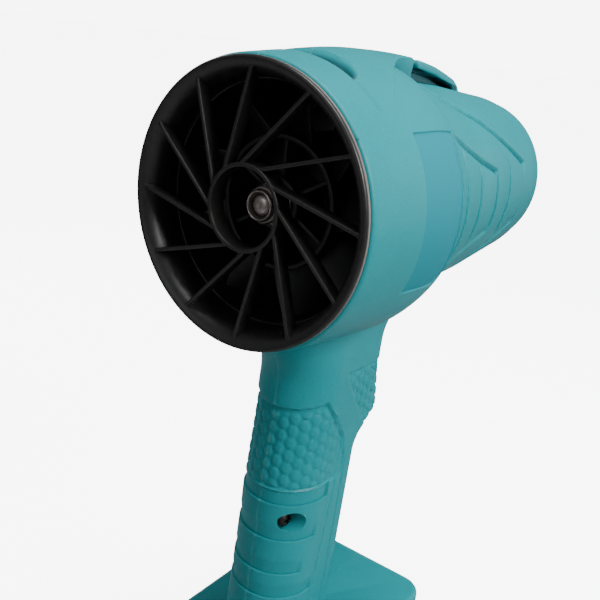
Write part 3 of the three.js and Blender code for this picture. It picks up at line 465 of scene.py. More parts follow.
def grip_solid(inset=0.0, detail=True):
    """The grip, section by section, leaned and faired into barrel and foot; plain for the hollow."""
    rows = np.arange(-215.0, -30.0, 0.85 if detail else 4.0).tolist()
    if detail:
        for _, at, *_ in TREADS:
            rows = [s for s in rows if abs(s - at) > 0.5]
            rows += [at - 0.45, at - 0.06, at + 0.06, at + 0.45]
    rings = []
    for s in sorted(rows):
        flare = 4.5 * (1 - math.sqrt(max(0, 1 - min(1, max(0, (-202.5 - s) / 6.3)) ** 2)))
        neck = 2.2 * max(0.0, min(1.0, (s + 62) / 12)) ** 2
        xs, ys = grip_section(s, inset, 110 if detail else 44, (flare + neck) * (inset == 0))
        along = np.concatenate([[0], np.cumsum(np.hypot(np.diff(xs), np.diff(ys)))])
        if detail:
            z = s + ROW_RISE * np.clip(xs - PALM, 0, 23)
            tx, ty = np.gradient(xs), np.gradient(ys)
            length = np.maximum(np.hypot(tx, ty), 1e-9)
            nx, ny = -ty / length, tx / length
            depth = grip_depth(xs, ys, np.full_like(xs, s), along) * (xs < 66)
            depth = np.maximum(depth, cheek_depth(xs, ys, z))
            depth = depth + 0.1 * np.clip(1 - ys / 0.4, 0, 1)
            xs, ys = xs - nx * depth, ys - ny * depth
        else:
            z = np.full_like(xs, s)
        ys[0], ys[-1] = 0.0, 0.0
        dx, dz = xs - PALM, z - GRIP_PIVOT
        wx = PALM + dx * math.cos(GRIP_LEAN) + dz * math.sin(GRIP_LEAN)
        wz = GRIP_PIVOT - dx * math.sin(GRIP_LEAN) + dz * math.cos(GRIP_LEAN)
        half = np.stack([wx, ys, wz], axis=1)
        rings.append(np.vstack([half, half[-2:0:-1] * np.array([1, -1, 1])]))
    return tube_solid("grip", rings)


def rounded_plan(x0, x1, y0, y1, radius, steps=9):
    """Points round a rectangle with rounded corners, from its corner at x1, y1 on."""
    ring = []
    for cx, cy, turn in ((x1 - radius, y1 - radius, 0), (x0 + radius, y1 - radius, 90),
                         (x0 + radius, y0 + radius, 180), (x1 - radius, y0 + radius, 270)):
        for i in range(steps):
            a = math.radians(turn + 90 * i / (steps - 1))
            ring.append((cx + radius * math.cos(a), cy + radius * math.sin(a)))
    return ring


FOOT_BACK = 14.7
FOOT_FRONT = 129.0
FOOT_HALF = 41.5
FOOT_CORNER = 11.0


def foot_solid():
    top = FOOT_TOP + 1.5
    rings = []
    for drop in (None, 0, 0.08, 0.3, 0.7, 1.3, 2.4, 2.8, 8, 14, 20, 20.5):
        inset = 2.9 if drop is None else float(rounded_edge(np.array(drop), 2.4))
        half = FOOT_HALF - inset
        ring = rounded_plan(FOOT_BACK + inset, FOOT_FRONT - inset, -half, half, FOOT_CORNER - inset * 0.8)
        rings.append([(x, y, top - (drop or 0)) for x, y in ring])
    return tube_solid("foot", rings)


def barrel_hollow():
    """The room inside the barrel, less the lining behind the pocket."""
    profile = [(-1, 0.01), (-1, SHELL_RADIUS - WALL)]
    profile += [(x, shell_radius(x) - WALL) for x in np.linspace(3, 62, 10)]
    profile += [(x, cone_radius(max(x, SHOULDER)) - WALL) for x in np.linspace(64, RIM + 1, 20)]
    profile += [(RIM + 1, 0.01)]
    hollow = turned_solid("barrel_hollow", profile, 120)
    lining = box_solid("lining", POCKET_X - 3, POCKET_X + POCKET_LONG + 3, -29, 29, 45.7, 60)
    return cut_or_join(hollow, "DIFFERENCE", [lining])


SCREW_SPOTS = [(PALM + 7, GRIP_PIVOT + 3), (PALM + 5, FOOT_TOP + 8), (PALM + 38, FOOT_TOP + 8)]
BOSS_RADIUS = 6.3
WELL_RADIUS = 4.75
WELL_FLOOR = -8.5
CHANNEL_BACK = 17.3  # the channel that the battery slides into is open in front
CHANNEL_END = 131


def housing_whole():
    """The joined skin, less its hollow, the battery's channel, the trigger's window and the wells."""
    skin = cut_or_join(barrel_solid(), "UNION", [hook_solid(), hook_rib(), grip_solid(), foot_solid()])
    bosses = [drum_y("boss", x, z, BOSS_RADIUS, -18, 18) for x, z in SCREW_SPOTS]
    hollow = cut_or_join(grip_solid(WALL, detail=False), "DIFFERENCE", bosses)
    roof = FOOT_TOP - WALL
    channel = box_solid("channel", CHANNEL_BACK, CHANNEL_END, -37, 37, FOOT_LOW + 3.6, roof)
    slot = box_solid("slot", CHANNEL_BACK, CHANNEL_END, -29, 29, FOOT_LOW - 1, roof)
    window = box_solid("window", 77, 117, -8, 8, -99.5, -67.5)
    wells = [drum_y("well", x, z, WELL_RADIUS, -30, WELL_FLOOR) for x, z in SCREW_SPOTS]
    wells += [drum_y("hole", x, z, 2.3, WELL_FLOOR - 1, 12, 20) for x, z in SCREW_SPOTS]
    return cut_or_join(skin, "DIFFERENCE", [barrel_hollow(), hollow, channel, slot, window] + wells)


def housing_halves():
    """The whole housing cut in two on the middle plane."""
    whole = housing_whole()
    halves = []
    for name, y0, y1 in (("housing_left_shell", SEAM, 90), ("housing_right_shell", -90, -SEAM)):
        half = linked(name, whole.data.copy())
        cut_or_join(half, "INTERSECT", [box_solid("side", -20, 220, y0, y1, -320, 120)])
        half.data.name = name
        half.data.shade_smooth()
        half.data.set_sharp_from_angle(angle=math.radians(38))
        halves.append(half)
    bpy.data.meshes.remove(whole.data)
    return halves


# What moulded plastic shows up close: a fine spark-eroded grain, slow clouding and bright specks.
def group_tree(name, inputs, outputs):
    """An empty shader node group with these float inputs (name: value) and outputs (name: kind)."""
    tree = bpy.data.node_groups.new(name, "ShaderNodeTree")
    for label, value in inputs.items():
        socket = tree.interface.new_socket(name=label, in_out="INPUT", socket_type="NodeSocketFloat")
        socket.default_value = value
    for label, kind in outputs.items():
        tree.interface.new_socket(name=label, in_out="OUTPUT", socket_type=kind)
    return tree, tree.nodes.new("NodeGroupInput"), tree.nodes.new("NodeGroupOutput")


def math_node(tree, operation, a, b=None):
    """A math node fed by sockets or plain numbers; returns its output."""
    node = tree.nodes.new("ShaderNodeMath")
    node.operation = operation
    for socket, value in zip(node.inputs, (a, b)):
        if value is None:
            continue
        if isinstance(value, (int, float)):
            socket.default_value = value
        else:
            tree.links.new(value, socket)
    return node.outputs[0]


def noise(tree, coordinates, scale, detail=2.0, roughness=0.5):
    node = tree.nodes.new("ShaderNodeTexNoise")
    tree.links.new(coordinates, node.inputs["Vector"])
    node.inputs["Detail"].default_value = detail
    node.inputs["Roughness"].default_value = roughness
    if isinstance(scale, (int, float)):
        node.inputs["Scale"].default_value = scale
    else:
        tree.links.new(scale, node.inputs["Scale"])
    return node.outputs["Fac"]


def object_place(tree):
    return tree.nodes.new("ShaderNodeTexCoord").outputs["Object"]


def split_axes(tree, place):
    """X, Y and Z of a place, as a node's three outputs."""
    node = tree.nodes.new("ShaderNodeSeparateXYZ")
    tree.links.new(place, node.inputs["Vector"])
    return node.outputs


def remap(tree, value, low, high, to_low=0.0, to_high=1.0):
    node = tree.nodes.new("ShaderNodeMapRange")
    tree.links.new(value, node.inputs["Value"])
    for label, number in (("From Min", low), ("From Max", high), ("To Min", to_low), ("To Max", to_high)):
        node.inputs[label].default_value = number
    return node.outputs["Result"]


def mix_color(tree, factor, a, b):
    """Colour a where factor is 0, and colour b where it is 1."""
    node = tree.nodes.new("ShaderNodeMix")
    node.data_type = "RGBA"
    tree.links.new(factor, node.inputs[0])
    for socket, value in zip((node.inputs[6], node.inputs[7]), (a, b)):
        if isinstance(value, tuple):
            socket.default_value = (*value, 1)
        else:
            tree.links.new(value, socket)
    return node.outputs[2]


grain, grain_in, grain_out = group_tree(
    "moulded_grain", {"Grain per metre": 1900.0, "Clouds per metre": 28.0, "Speck": 0.5},
    {"Height": "NodeSocketFloat", "Clouds": "NodeSocketFloat", "Specks": "NodeSocketFloat"},
)
grain_place = object_place(grain)
grain.links.new(noise(grain, grain_place, grain_in.outputs[0], 3.0, 0.6), grain_out.inputs["Height"])
grain.links.new(noise(grain, grain_place, grain_in.outputs[1], 4.0, 0.55), grain_out.inputs["Clouds"])
cells = grain.nodes.new("ShaderNodeTexVoronoi")
grain.links.new(grain_place, cells.inputs["Vector"])
grain.links.new(grain_in.outputs[0], cells.inputs["Scale"])
cell_value = grain.nodes.new("ShaderNodeSeparateColor")
grain.links.new(cells.outputs["Color"], cell_value.inputs["Color"])
bright = remap(grain, cell_value.outputs["Red"], 0.8, 1.0)
grain.links.new(math_node(grain, "MULTIPLY", bright, grain_in.outputs["Speck"]), grain_out.inputs["Specks"])


# Edges that stand proud are paler, partly rubbed and partly a painted highlight, and corners that lie deep
# are darker as painted shade.
wear_and_light, wear_and_light_in, wear_and_light_out = group_tree(
    "edge_wear", {"Edge start": 0.53, "Edge full": 0.6, "Break up": 300.0},
    {"Edges": "NodeSocketFloat", "Hollow_shade": "NodeSocketFloat"},
)
pointiness = wear_and_light.nodes.new("ShaderNodeNewGeometry").outputs["Pointiness"]
edge_range = wear_and_light.nodes.new("ShaderNodeMapRange")
wear_and_light.links.new(pointiness, edge_range.inputs["Value"])
wear_and_light.links.new(wear_and_light_in.outputs["Edge start"], edge_range.inputs["From Min"])
wear_and_light.links.new(wear_and_light_in.outputs["Edge full"], edge_range.inputs["From Max"])
edge_noise_place = object_place(wear_and_light)
broken = remap(wear_and_light, noise(wear_and_light, edge_noise_place, wear_and_light_in.outputs["Break up"], 3.0), 0.35, 0.65, 0.45, 1.0)
# Edges: paler where the surface folds outwards, as wear and painted highlight.
wear_and_light.links.new(math_node(wear_and_light, "MULTIPLY", edge_range.outputs["Result"], broken), wear_and_light_out.inputs["Edges"])
# Hollow shade: painted shade, darker where the surface folds inwards.
wear_and_light.links.new(remap(wear_and_light, pointiness, 0.49, 0.43), wear_and_light_out.inputs["Hollow_shade"])


def new_material(name, roughness, metallic=0.0, **constants):
    """A material with one Principled shader, whose constants are set on its own sockets."""
    material = bpy.data.materials.new(name)
    material.use_nodes = True
    shader = material.node_tree.nodes["Principled BSDF"]
    shader.inputs["Roughness"].default_value = roughness
    shader.inputs["Metallic"].default_value = metallic
    for label, value in constants.items():
        shader.inputs[label.replace("_", " ")].default_value = value
    return material, material.node_tree, shader


def placed_group(tree, group, **values):
    """A node that holds this group, with its own values."""
    node = tree.nodes.new("ShaderNodeGroup")
    node.node_tree = group
    for label, value in values.items():
        node.inputs[label.replace("_", " ")].default_value = value
    return node


def add_bump(tree, shader, height, depth, strength=1.0):
    """Lets this height, depth metres deep, stand in the surface."""
    bump = tree.nodes.new("ShaderNodeBump")
    bump.inputs["Distance"].default_value = depth
    bump.inputs["Strength"].default_value = strength
    tree.links.new(height, bump.inputs["Height"])
    tree.links.new(bump.outputs["Normal"], shader.inputs["Normal"])


def plastic(name, deep, light, worn_and_lit, roughness, grain_scale=1900.0, grain_depth=0.00006, speck=0.5,
            edge=0.5, **constants):
    """Moulded plastic: colour clouds between deep and light, paler along its edges as wear and painted
    highlight, darker in hollows as painted shade, finely grained.
    """
    material, tree, shader = new_material(name, roughness, **constants)
    detail = placed_group(tree, grain, Grain_per_metre=grain_scale, Speck=speck)
    edges = placed_group(tree, wear_and_light)
    clouds = remap(tree, detail.outputs["Clouds"], 0.3, 0.7)
    color = mix_color(tree, clouds, deep, light)
    color = mix_color(tree, detail.outputs["Specks"], color, worn_and_lit)
    # Edges turn paler, partly as wear and partly as painted highlight.
    color = mix_color(tree, math_node(tree, "MULTIPLY", edges.outputs["Edges"], edge), color, worn_and_lit)
    # Painted shade: hollows darken towards a darker copy of the deep colour.
    hollow = tuple(0.45 * part for part in deep)
    color = mix_color(tree, math_node(tree, "MULTIPLY", edges.outputs["Hollow_shade"], 0.6), color, hollow)
    tree.links.new(color, shader.inputs["Base Color"])
    rough = remap(tree, detail.outputs["Height"], 0.3, 0.7, roughness - 0.06, roughness + 0.08)
    tree.links.new(rough, shader.inputs["Roughness"])
    add_bump(tree, shader, detail.outputs["Height"], grain_depth)
    return material


panel_low = placed([[PANEL_X[0], 0, -24.0]])[0]
panel_high = placed([[PANEL_X[1] + 0.5, 0, 31.8]])[0]


def kept_where(tree, mask, *limits):
    """The mask, made 0 where a limit, given as operation, value and number, does not hold."""
    for operation, value, number in limits:
        mask = math_node(tree, "MULTIPLY", mask, math_node(tree, operation, value, float(number)))
    return mask


def axis_radius(tree, y, z):
    """Distance from the airflow axis."""
    squares = [math_node(tree, "MULTIPLY", part, part) for part in (y, z)]
    return math_node(tree, "SQRT", math_node(tree, "ADD", *squares))


def pocket_painted_shade(tree, axes):
    """Painted shade: high in the pocket on top of the barrel and under the hook, where these hollows lie in
    shadow; 0 elsewhere.
    """
    x, y = axes["X"], axes["Y"]
    up = math_node(tree, "SUBTRACT", axes["Z"], float(AXIS_Z))
    high_up = ("GREATER_THAN", up, 0.038)
    sunk = remap(tree, axis_radius(tree, y, up), 0.0537, 0.0522)  # just below the barrel's skin
    deep = kept_where(
        tree, sunk,
        ("GREATER_THAN", x, LIP_X + (POCKET_X - 0.5) * 0.001),
        ("LESS_THAN", x, LIP_X + (POCKET_X + POCKET_LONG) * 0.001),
        high_up,
    )
    along = math_node(tree, "SUBTRACT", x, LIP_X + HOOK_START * 0.001)
    under = math_node(tree, "ADD", up, math_node(tree, "MULTIPLY", along, 0.17))
    shade = kept_where(
        tree, math_node(tree, "GREATER_THAN", along, 0.0),
        ("LESS_THAN", along, 0.040),
        ("LESS_THAN", under, hook_top(HOOK_START) * 0.001 - 0.0032),
        ("LESS_THAN", math_node(tree, "ABSOLUTE", y), (HOOK_HALF + 0.2) * 0.001),
        high_up,
    )
    return math_node(tree, "MULTIPLY", math_node(tree, "MAXIMUM", deep, shade), 0.9)


def teal_plastic():
    """Teal moulded plastic; the shallow panel on each side of the barrel is smooth, without grain."""
    material, tree, shader = new_material("teal_plastic", 0.42, Specular_IOR_Level=0.22)
    detail = placed_group(tree, grain, Grain_per_metre=2100.0, Clouds_per_metre=16.0, Speck=0.16)
    edges = placed_group(tree, wear_and_light, Edge_start=0.52, Edge_full=0.58)
    axes = split_axes(tree, object_place(tree))
    x, z = axes["X"], axes["Z"]
    panel = kept_where(
        tree, math_node(tree, "GREATER_THAN", x, float(panel_low[0])),
        ("LESS_THAN", x, panel_high[0]),
        ("GREATER_THAN", z, panel_low[2]),
        ("LESS_THAN", z, panel_high[2]),
    )
    grained = math_node(tree, "SUBTRACT", 1.0, panel)
    clouds = remap(tree, detail.outputs["Clouds"], 0.3, 0.7)
    color = mix_color(tree, clouds, (0.005, 0.255, 0.288), (0.009, 0.29, 0.325))
    specks = math_node(tree, "MULTIPLY", detail.outputs["Specks"], grained)
    # Edges paler, partly as wear and partly as painted highlight; hollows darker as painted shade.
    worn_and_lit_edges = math_node(tree, "MULTIPLY", edges.outputs["Edges"], 0.55)
    hollow_painted_shade = math_node(tree, "MULTIPLY", edges.outputs["Hollow_shade"], 0.55)
    color = mix_color(tree, math_node(tree, "MULTIPLY", panel, 0.8), color, (0.0, 0.235, 0.30))
    color = mix_color(tree, specks, color, (0.06, 0.44, 0.48))
    # Paler edges as wear and painted highlight, then painted shade in the hollows.
    color = mix_color(tree, worn_and_lit_edges, color, (0.13, 0.50, 0.52))
    color = mix_color(tree, hollow_painted_shade, color, (0.002, 0.085, 0.10))
    # Painted shade: the pocket's deep end and the nozzle under the hook darken to near-black teal.
    color = mix_color(tree, pocket_painted_shade(tree, axes), color, (0.0, 0.05, 0.062))
    tree.links.new(color, shader.inputs["Base Color"])
    rough = remap(tree, detail.outputs["Height"], 0.3, 0.7, 0.34, 0.50)
    smooth = math_node(tree, "MULTIPLY", panel, 0.2)
    tree.links.new(math_node(tree, "ADD", rough, smooth), shader.inputs["Roughness"])
    add_bump(tree, shader, math_node(tree, "MULTIPLY", detail.outputs["Height"], grained), 0.00004)
    return material


def darken_bore(mesh, skin, bore):
    """Faces inside the barrel that look at the airflow axis are painted near black, as painted shade for the
    barrel's dark inside.
    """
    mesh.materials.clear()
    mesh.materials.append(skin)
    mesh.materials.append(bore)
    for face in mesh.polygons:
        x, y, z = (np.array(face.center) - np.array([LIP_X, 0, AXIS_Z])) * 1000
        radius = math.hypot(y, z)
        facing = (face.normal.y * y + face.normal.z * z) / max(radius, 1e-6)
        under_hook = x > HOOK_START - 3 and abs(y) < HOOK_HALF + 1 and z > cone_radius(x) - 0.5
        in_barrel = z > -47 and radius < 54  # and so not in the grip's hollow
        if facing < -0.3 and in_barrel and not under_hook:
            face.material_index = 1


left_shell, right_shell = housing_halves()
teal = teal_plastic()
# Painted shade: near-black plastic for the teal inside of the barrel, which lies in shadow.
bore_black = plastic("bore_black", (0.006, 0.007, 0.008), (0.009, 0.010, 0.011), (0.02, 0.02, 0.02), 0.6)
for shell, node in ((left_shell, "housing_left"), (right_shell, "housing_right")):
    darken_bore(shell.data, teal, bore_black)
    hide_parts(node)
    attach(shell, "blower_body")

# ---- Intake ring and finger guard ---------------------------------------------------------------
# One black moulding pressed into the mouth of the barrel: a bell-mouth ring, twelve flat vanes that
# pass beside the axis, and a hub ring where they meet. The vanes are one shape, copied round.

VANES = 12
VANE_OFFSET = 12.0
VANE_TURN = 13.1
HUB_OUT = 15.8
LIP_RADIUS = 51.0
BELL_DEEP = 12.6
BELL_DROP = 6.45
SPIGOT_RADIUS = 48.9  # the part of the ring that plugs into the barrel


def node_tree(name, inputs):
    """An empty geometry node tree with these inputs (name: socket kind) and a mesh in and out."""
    tree = bpy.data.node_groups.new(name, "GeometryNodeTree")
    tree.interface.new_socket(name="Mesh", in_out="INPUT", socket_type="NodeSocketGeometry")
    for label, kind in inputs.items():
        tree.interface.new_socket(name=label, in_out="INPUT", socket_type=kind)
    tree.interface.new_socket(name="Mesh", in_out="OUTPUT", socket_type="NodeSocketGeometry")
    return tree, tree.nodes.new("NodeGroupInput"), tree.nodes.new("NodeGroupOutput")


def finish_tree(tree, geometry, start, end):
    """Every tree ends alike: real geometry instead of instances, in the material that is passed in."""
    realize = tree.nodes.new("GeometryNodeRealizeInstances")
    paint = tree.nodes.new("GeometryNodeSetMaterial")
    tree.links.new(geometry, realize.inputs["Geometry"])
    tree.links.new(realize.outputs["Geometry"], paint.inputs["Geometry"])
    tree.links.new(start.outputs["Material"], paint.inputs["Material"])
    tree.links.new(paint.outputs["Geometry"], end.inputs["Mesh"])


round_tree, round_in, round_out = node_tree("copies_round_axis", {
    "Count": "NodeSocketInt", "First angle": "NodeSocketFloat", "Axis height": "NodeSocketFloat",
    "Material": "NodeSocketMaterial",
})
link = round_tree.links.new
to_axis = round_tree.nodes.new("ShaderNodeCombineXYZ")
from_axis = round_tree.nodes.new("ShaderNodeCombineXYZ")
down = math_node(round_tree, "MULTIPLY", round_in.outputs["Axis height"], -1.0)
link(down, to_axis.inputs["Z"])
link(round_in.outputs["Axis height"], from_axis.inputs["Z"])
lowered = round_tree.nodes.new("GeometryNodeTransform")
raised = round_tree.nodes.new("GeometryNodeTransform")
link(round_in.outputs["Mesh"], lowered.inputs["Geometry"])
link(to_axis.outputs[0], lowered.inputs["Translation"])
spots = round_tree.nodes.new("GeometryNodeMeshLine")
link(round_in.outputs["Count"], spots.inputs["Count"])
spots.inputs["Offset"].default_value = (0, 0, 0)
copier = round_tree.nodes.new("GeometryNodeInstanceOnPoints")
link(spots.outputs["Mesh"], copier.inputs["Points"])
link(lowered.outputs["Geometry"], copier.inputs["Instance"])
which = round_tree.nodes.new("GeometryNodeInputIndex").outputs["Index"]
turned = math_node(round_tree, "MULTIPLY", which, 2 * math.pi)
share = math_node(round_tree, "DIVIDE", turned, round_in.outputs["Count"])
angle = round_tree.nodes.new("ShaderNodeCombineXYZ")
link(math_node(round_tree, "ADD", share, round_in.outputs["First angle"]), angle.inputs["X"])
link(angle.outputs[0], copier.inputs["Rotation"])
real = round_tree.nodes.new("GeometryNodeRealizeInstances")
link(copier.outputs["Instances"], real.inputs["Geometry"])
link(real.outputs["Geometry"], raised.inputs["Geometry"])
link(from_axis.outputs[0], raised.inputs["Translation"])
finish_tree(round_tree, raised.outputs["Geometry"], round_in, round_out)


def grown(obj, tree, **values):
    """The mesh that a geometry node tree makes of obj, as plain mesh in the same object."""
    modifier = obj.modifiers.new("grow", "NODES")
    modifier.node_group = tree
    for item in tree.interface.items_tree:
        label = item.name.replace(" ", "_")
        if item.item_type == "SOCKET" and item.in_out == "INPUT" and label in values:
            modifier[item.identifier] = values[label]
    return settled(obj)


def round_axis(obj, count, degrees, material):
    """Copies of obj round the airflow axis, the first one turned by these degrees."""
    first = math.radians(degrees)
    return grown(obj, round_tree, Count=count, First_angle=first, Axis_height=AXIS_Z, Material=material)


def finished(obj, name, material, body, slot, *replaced, sharp=40):
    """Names a piece, gives it its finish, and hangs it on its body."""
    obj.name = obj.data.name = name
    obj.data.materials.clear()
    obj.data.materials.append(material)
    obj.data.shade_smooth()
    obj.data.set_sharp_from_angle(angle=math.radians(sharp))
    if replaced:
        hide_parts(*replaced)
    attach(obj, body)
    return obj


def ring_solid(name, x0, x1, inner, outer, radius, segments=64):
    """A ring round the airflow axis, with rounded edges."""
    return turned_solid(name, rounded_plan(x0, x1, inner, outer, radius, 5), segments)


def rounded_bar(name, x0, x1, y, thickness, z_values, radius=0.45, flare=0.0):
    """An upright bar with a rounded rectangular section, flared a little at its far end."""
    rings = []
    for z in z_values:
        extra = flare * max(0.0, 1 - (z_values[-1] - z) / 3.0) ** 2
        half = thickness / 2 + extra
        rings.append([(px, py, z) for px, py in rounded_plan(x0, x1, y - half, y + half, radius, 4)])
    return tube_solid(name, rings)


def intake_guard():
    quarter = math.pi / 2
    profile = [(0.12 + BELL_DEEP * (1 - math.cos(t)), LIP_RADIUS - 0.5 - BELL_DROP * math.sin(t))
               for t in np.linspace(0, quarter, 26)]
    profile += [(14, 44.05), (14, SPIGOT_RADIUS), (2.72, SPIGOT_RADIUS)]
    profile += [(2.72, LIP_RADIUS - 0.3), (2.5, LIP_RADIUS), (1.5, LIP_RADIUS)]
    for t in np.linspace(0.05, quarter, 7):
        profile.append((1.0 - math.sin(t), LIP_RADIUS - 0.9 + 0.9 * math.cos(t)))
    ring = turned_solid("intake_ring", profile, 200)
    hub = ring_solid("hub_ring", 1.0, 8.4, HUB_OUT - 1.6, HUB_OUT, 0.5, 96)
    vane = rounded_bar("vane", 1.2, 6.8, VANE_OFFSET, 1.5, np.linspace(9.3, 48.3, 24), flare=1.1)
    vanes = round_axis(vane, VANES, VANE_TURN, black)
    return cut_or_join(ring, "UNION", [hub, vanes])


black = plastic("black_plastic", (0.012, 0.0117, 0.0117), (0.016, 0.0155, 0.0152), (0.09, 0.083, 0.078), 0.36,
                grain_scale=900.0, grain_depth=0.00002, speck=0.05, edge=0.35)
# A fine line along the edge of the lip is painted paler, as a painted highlight where the rim catches the
# light.
rim_worn = plastic("rim_worn", (0.16, 0.135, 0.12), (0.22, 0.19, 0.17), (0.4, 0.36, 0.33), 0.32, speck=0.2)
guard = finished(intake_guard(), "finger_guard", black, "blower_body", "black_plastic", "intake_guard")
guard.data.materials.append(rim_worn)
# Painted highlight: the lip's outer band takes the pale material.
for face in guard.data.polygons:
    across = math.hypot(face.center.y, face.center.z - AXIS_Z)
    if across > (LIP_RADIUS - 0.4) * 0.001 and LIP_X + 0.0015 < face.center.x < LIP_X + 0.0029:
        face.material_index = 1

# ---- Impeller -----------------------------------------------------------------------------------
# Glass-filled black wheel on the motor's shaft: nine twisted blades on a hub rim, which six spokes
# carry from the boss. Moulded in one shot.

FAN_X = 20.0
FAN_END = 42.0
FAN_RADIUS = 42.8
FAN_HUB = 25.0


def fan_blade():
    """One blade from the hub outwards, with a cambered section that turns towards the tip."""
    chord = 24.2
    root = FAN_HUB - 1.4
    middle_x = (FAN_X + FAN_END) / 2 + 0.5
    rings = []
    for r in np.linspace(root, FAN_RADIUS, 20):
        share = (r - root) / (FAN_RADIUS + 1 - root)
        turn = math.radians(58 - 22 * share)
        ring = []
        for t in full_turn(28):
            u = -chord / 2 * math.cos(t)
            camber = 1.5 * (1 - (2 * u / chord) ** 2)
            v = camber + (0.95 - 0.35 * share) * math.sin(t) * (1 - 0.45 * (u / chord + 0.5))
            x = middle_x + u * math.cos(turn) - v * math.sin(turn)
            z = math.sqrt(max(r * r - (u * math.sin(turn)) ** 2, 1))
            ring.append((x, u * math.sin(turn) + v * math.cos(turn), z))
        rings.append(ring)
    return tube_solid("blade", rings)


def impeller():
    rim = ring_solid("hub_rim", FAN_X + 1, FAN_END, FAN_HUB - 2, FAN_HUB, 0.6, 96)
    boss = ring_solid("boss", FAN_X, FAN_END, 4.3, 10, 0.8)
    disc = ring_solid("disc", FAN_END - 5, FAN_END - 3, 9, FAN_HUB - 1, 0.3)
    spoke = rounded_bar("spoke", FAN_X + 3, FAN_END - 4, 0, 1.6, np.linspace(9.2, FAN_HUB - 1, 8), flare=0.6)
    spokes = round_axis(spoke, 6, 0, wheel_black)
    blades = round_axis(fan_blade(), 9, 0, wheel_black)
    return cut_or_join(rim, "UNION", [boss, disc, spokes, blades])


wheel_black = plastic("wheel_black", (0.006, 0.006, 0.007), (0.009, 0.009, 0.010), (0.03, 0.03, 0.03), 0.42,
                      grain_scale=1200.0, grain_depth=0.00003, speck=0.08, edge=0.3)
finished(impeller(), "fan_impeller", wheel_black, "fan_wheel", "black_plastic", "impeller")

# ---- Lock nut, washer and shaft -----------------------------------------------------------------
# A plated M8 nylon-insert lock nut clamps the wheel onto the shaft's threaded end over a washer.
# The steel is turned, so it shows fine rings; the nylon ring is dark.

NUT_X = 10.4
NUT_HEIGHT = 8.0
NUT_FLATS = 13.0
SHAFT_RADIUS = 4.0
SHAFT_END = 104.1


def turned_steel(name, color, roughness):
    """Bright metal with fine turning rings round the airflow axis and a little tarnish."""
    material, tree, shader = new_material(name, roughness, 1.0)
    place = object_place(tree)
    centre = tree.nodes.new("ShaderNodeMapping")
    centre.inputs["Location"].default_value = (0, 0, -AXIS_Z)
    tree.links.new(place, centre.inputs["Vector"])
    axes = split_axes(tree, centre.outputs[0])
    radius = axis_radius(tree, axes["Y"], axes["Z"])
    slant = math_node(tree, "ADD", radius, axes["X"])
    rings = math_node(tree, "SINE", math_node(tree, "MULTIPLY", slant, 26000.0))
    tarnish = noise(tree, place, 420.0, 4.0, 0.6)
    dark = tuple(0.45 * part for part in color)
    shade = mix_color(tree, remap(tree, tarnish, 0.42, 0.75), color, dark)
    rough = remap(tree, tarnish, 0.3, 0.7, roughness - 0.06, roughness + 0.16)
    tree.links.new(shade, shader.inputs["Base Color"])
    tree.links.new(rough, shader.inputs["Roughness"])
    add_bump(tree, shader, rings, 0.000008, 0.6)
    return material


def lock_nut():
    """A hexagon with turned corners, the collar that holds its nylon ring, and a bore."""
    corner = NUT_FLATS / math.sqrt(3)
    base_x, top_x = NUT_X + NUT_HEIGHT, NUT_X + 2.2
    flats = [(corner * math.sin(a), corner * math.cos(a)) for a in (math.radians(60 * i) for i in range(6))]
    hexagon = tube_solid("hexagon", [[(x, y, z) for y, z in flats] for x in (top_x, base_x)], smooth=False)
    cone = [(top_x - 1, 0.01), (top_x - 1, 5.4), (top_x + 1.3, 7.9), (base_x - 0.9, 7.9)]
    cone += [(base_x + 0.5, 5.9), (base_x + 0.5, 0.01)]
    cut_or_join(hexagon, "INTERSECT", [turned_solid("chamfer", cone, 72)])
    crimp = [(1.0, 5.95), (0.45, 5.8), (0.12, 5.5), (0, 5.2), (0.12, 4.95), (0.5, 4.8), (1.6, 4.75)]
    rolled = [(top_x + 1, 3.9), (top_x + 1, 5.95)] + [(NUT_X + x, r) for x, r in crimp]
    collar = turned_solid("collar", rolled, 72)
    bore = turned_solid("bore", [(0, 0.01), (0, 4.2), (base_x + 2, 4.2), (base_x + 2, 0.01)], 64)
    return cut_or_join(cut_or_join(hexagon, "UNION", [collar]), "DIFFERENCE", [bore])


def shaft():
    """The shaft, with a domed end and the first turns of its thread."""
    start = NUT_X + 0.75
    dome = ((0, 0.01), (-0.1, 1.0), (-0.12, 2.6), (0.1, 3.05), (0.75, 3.75))
    profile = [(start + x, r) for x, r in dome]
    crest, pitch = SHAFT_RADIUS - 0.02, 1.25
    for i in range(5):
        at = start + 1.0 + pitch * i
        profile += [(at, crest), (at + 0.3, crest), (at + 0.75, SHAFT_RADIUS - 0.55)]
    profile += [(start + 8.0, SHAFT_RADIUS), (SHAFT_END - 0.4, SHAFT_RADIUS), (SHAFT_END, SHAFT_RADIUS - 0.4)]
    profile += [(SHAFT_END, 0.01)]
    return turned_solid("shaft", profile, 64)


bright_steel = turned_steel("bright_steel", (0.54, 0.48, 0.455), 0.3)
finished(lock_nut(), "lock_nut", bright_steel, "fan_wheel", "bright_steel", "impeller_nut", sharp=30)
finished(shaft(), "fan_shaft", bright_steel, "fan_wheel", "bright_steel", "motor_shaft")
washer_x = NUT_X + NUT_HEIGHT + 0.3
washer = ring_solid("washer", washer_x, washer_x + 1.0, 4.3, 8.0, 0.2, 72)
finished(washer, "fan_washer", bright_steel, "fan_wheel", "bright_steel", "impeller_washer")
nylon = plastic("nylon_insert", (0.03, 0.02, 0.018), (0.045, 0.03, 0.027), (0.08, 0.06, 0.055), 0.5,
                speck=0.0)
insert = ring_solid("insert", NUT_X + 1.0, NUT_X + 2.6, 4.05, 4.9, 0.2)
finished(insert, "nut_nylon_ring", nylon, "fan_wheel", "black_plastic")

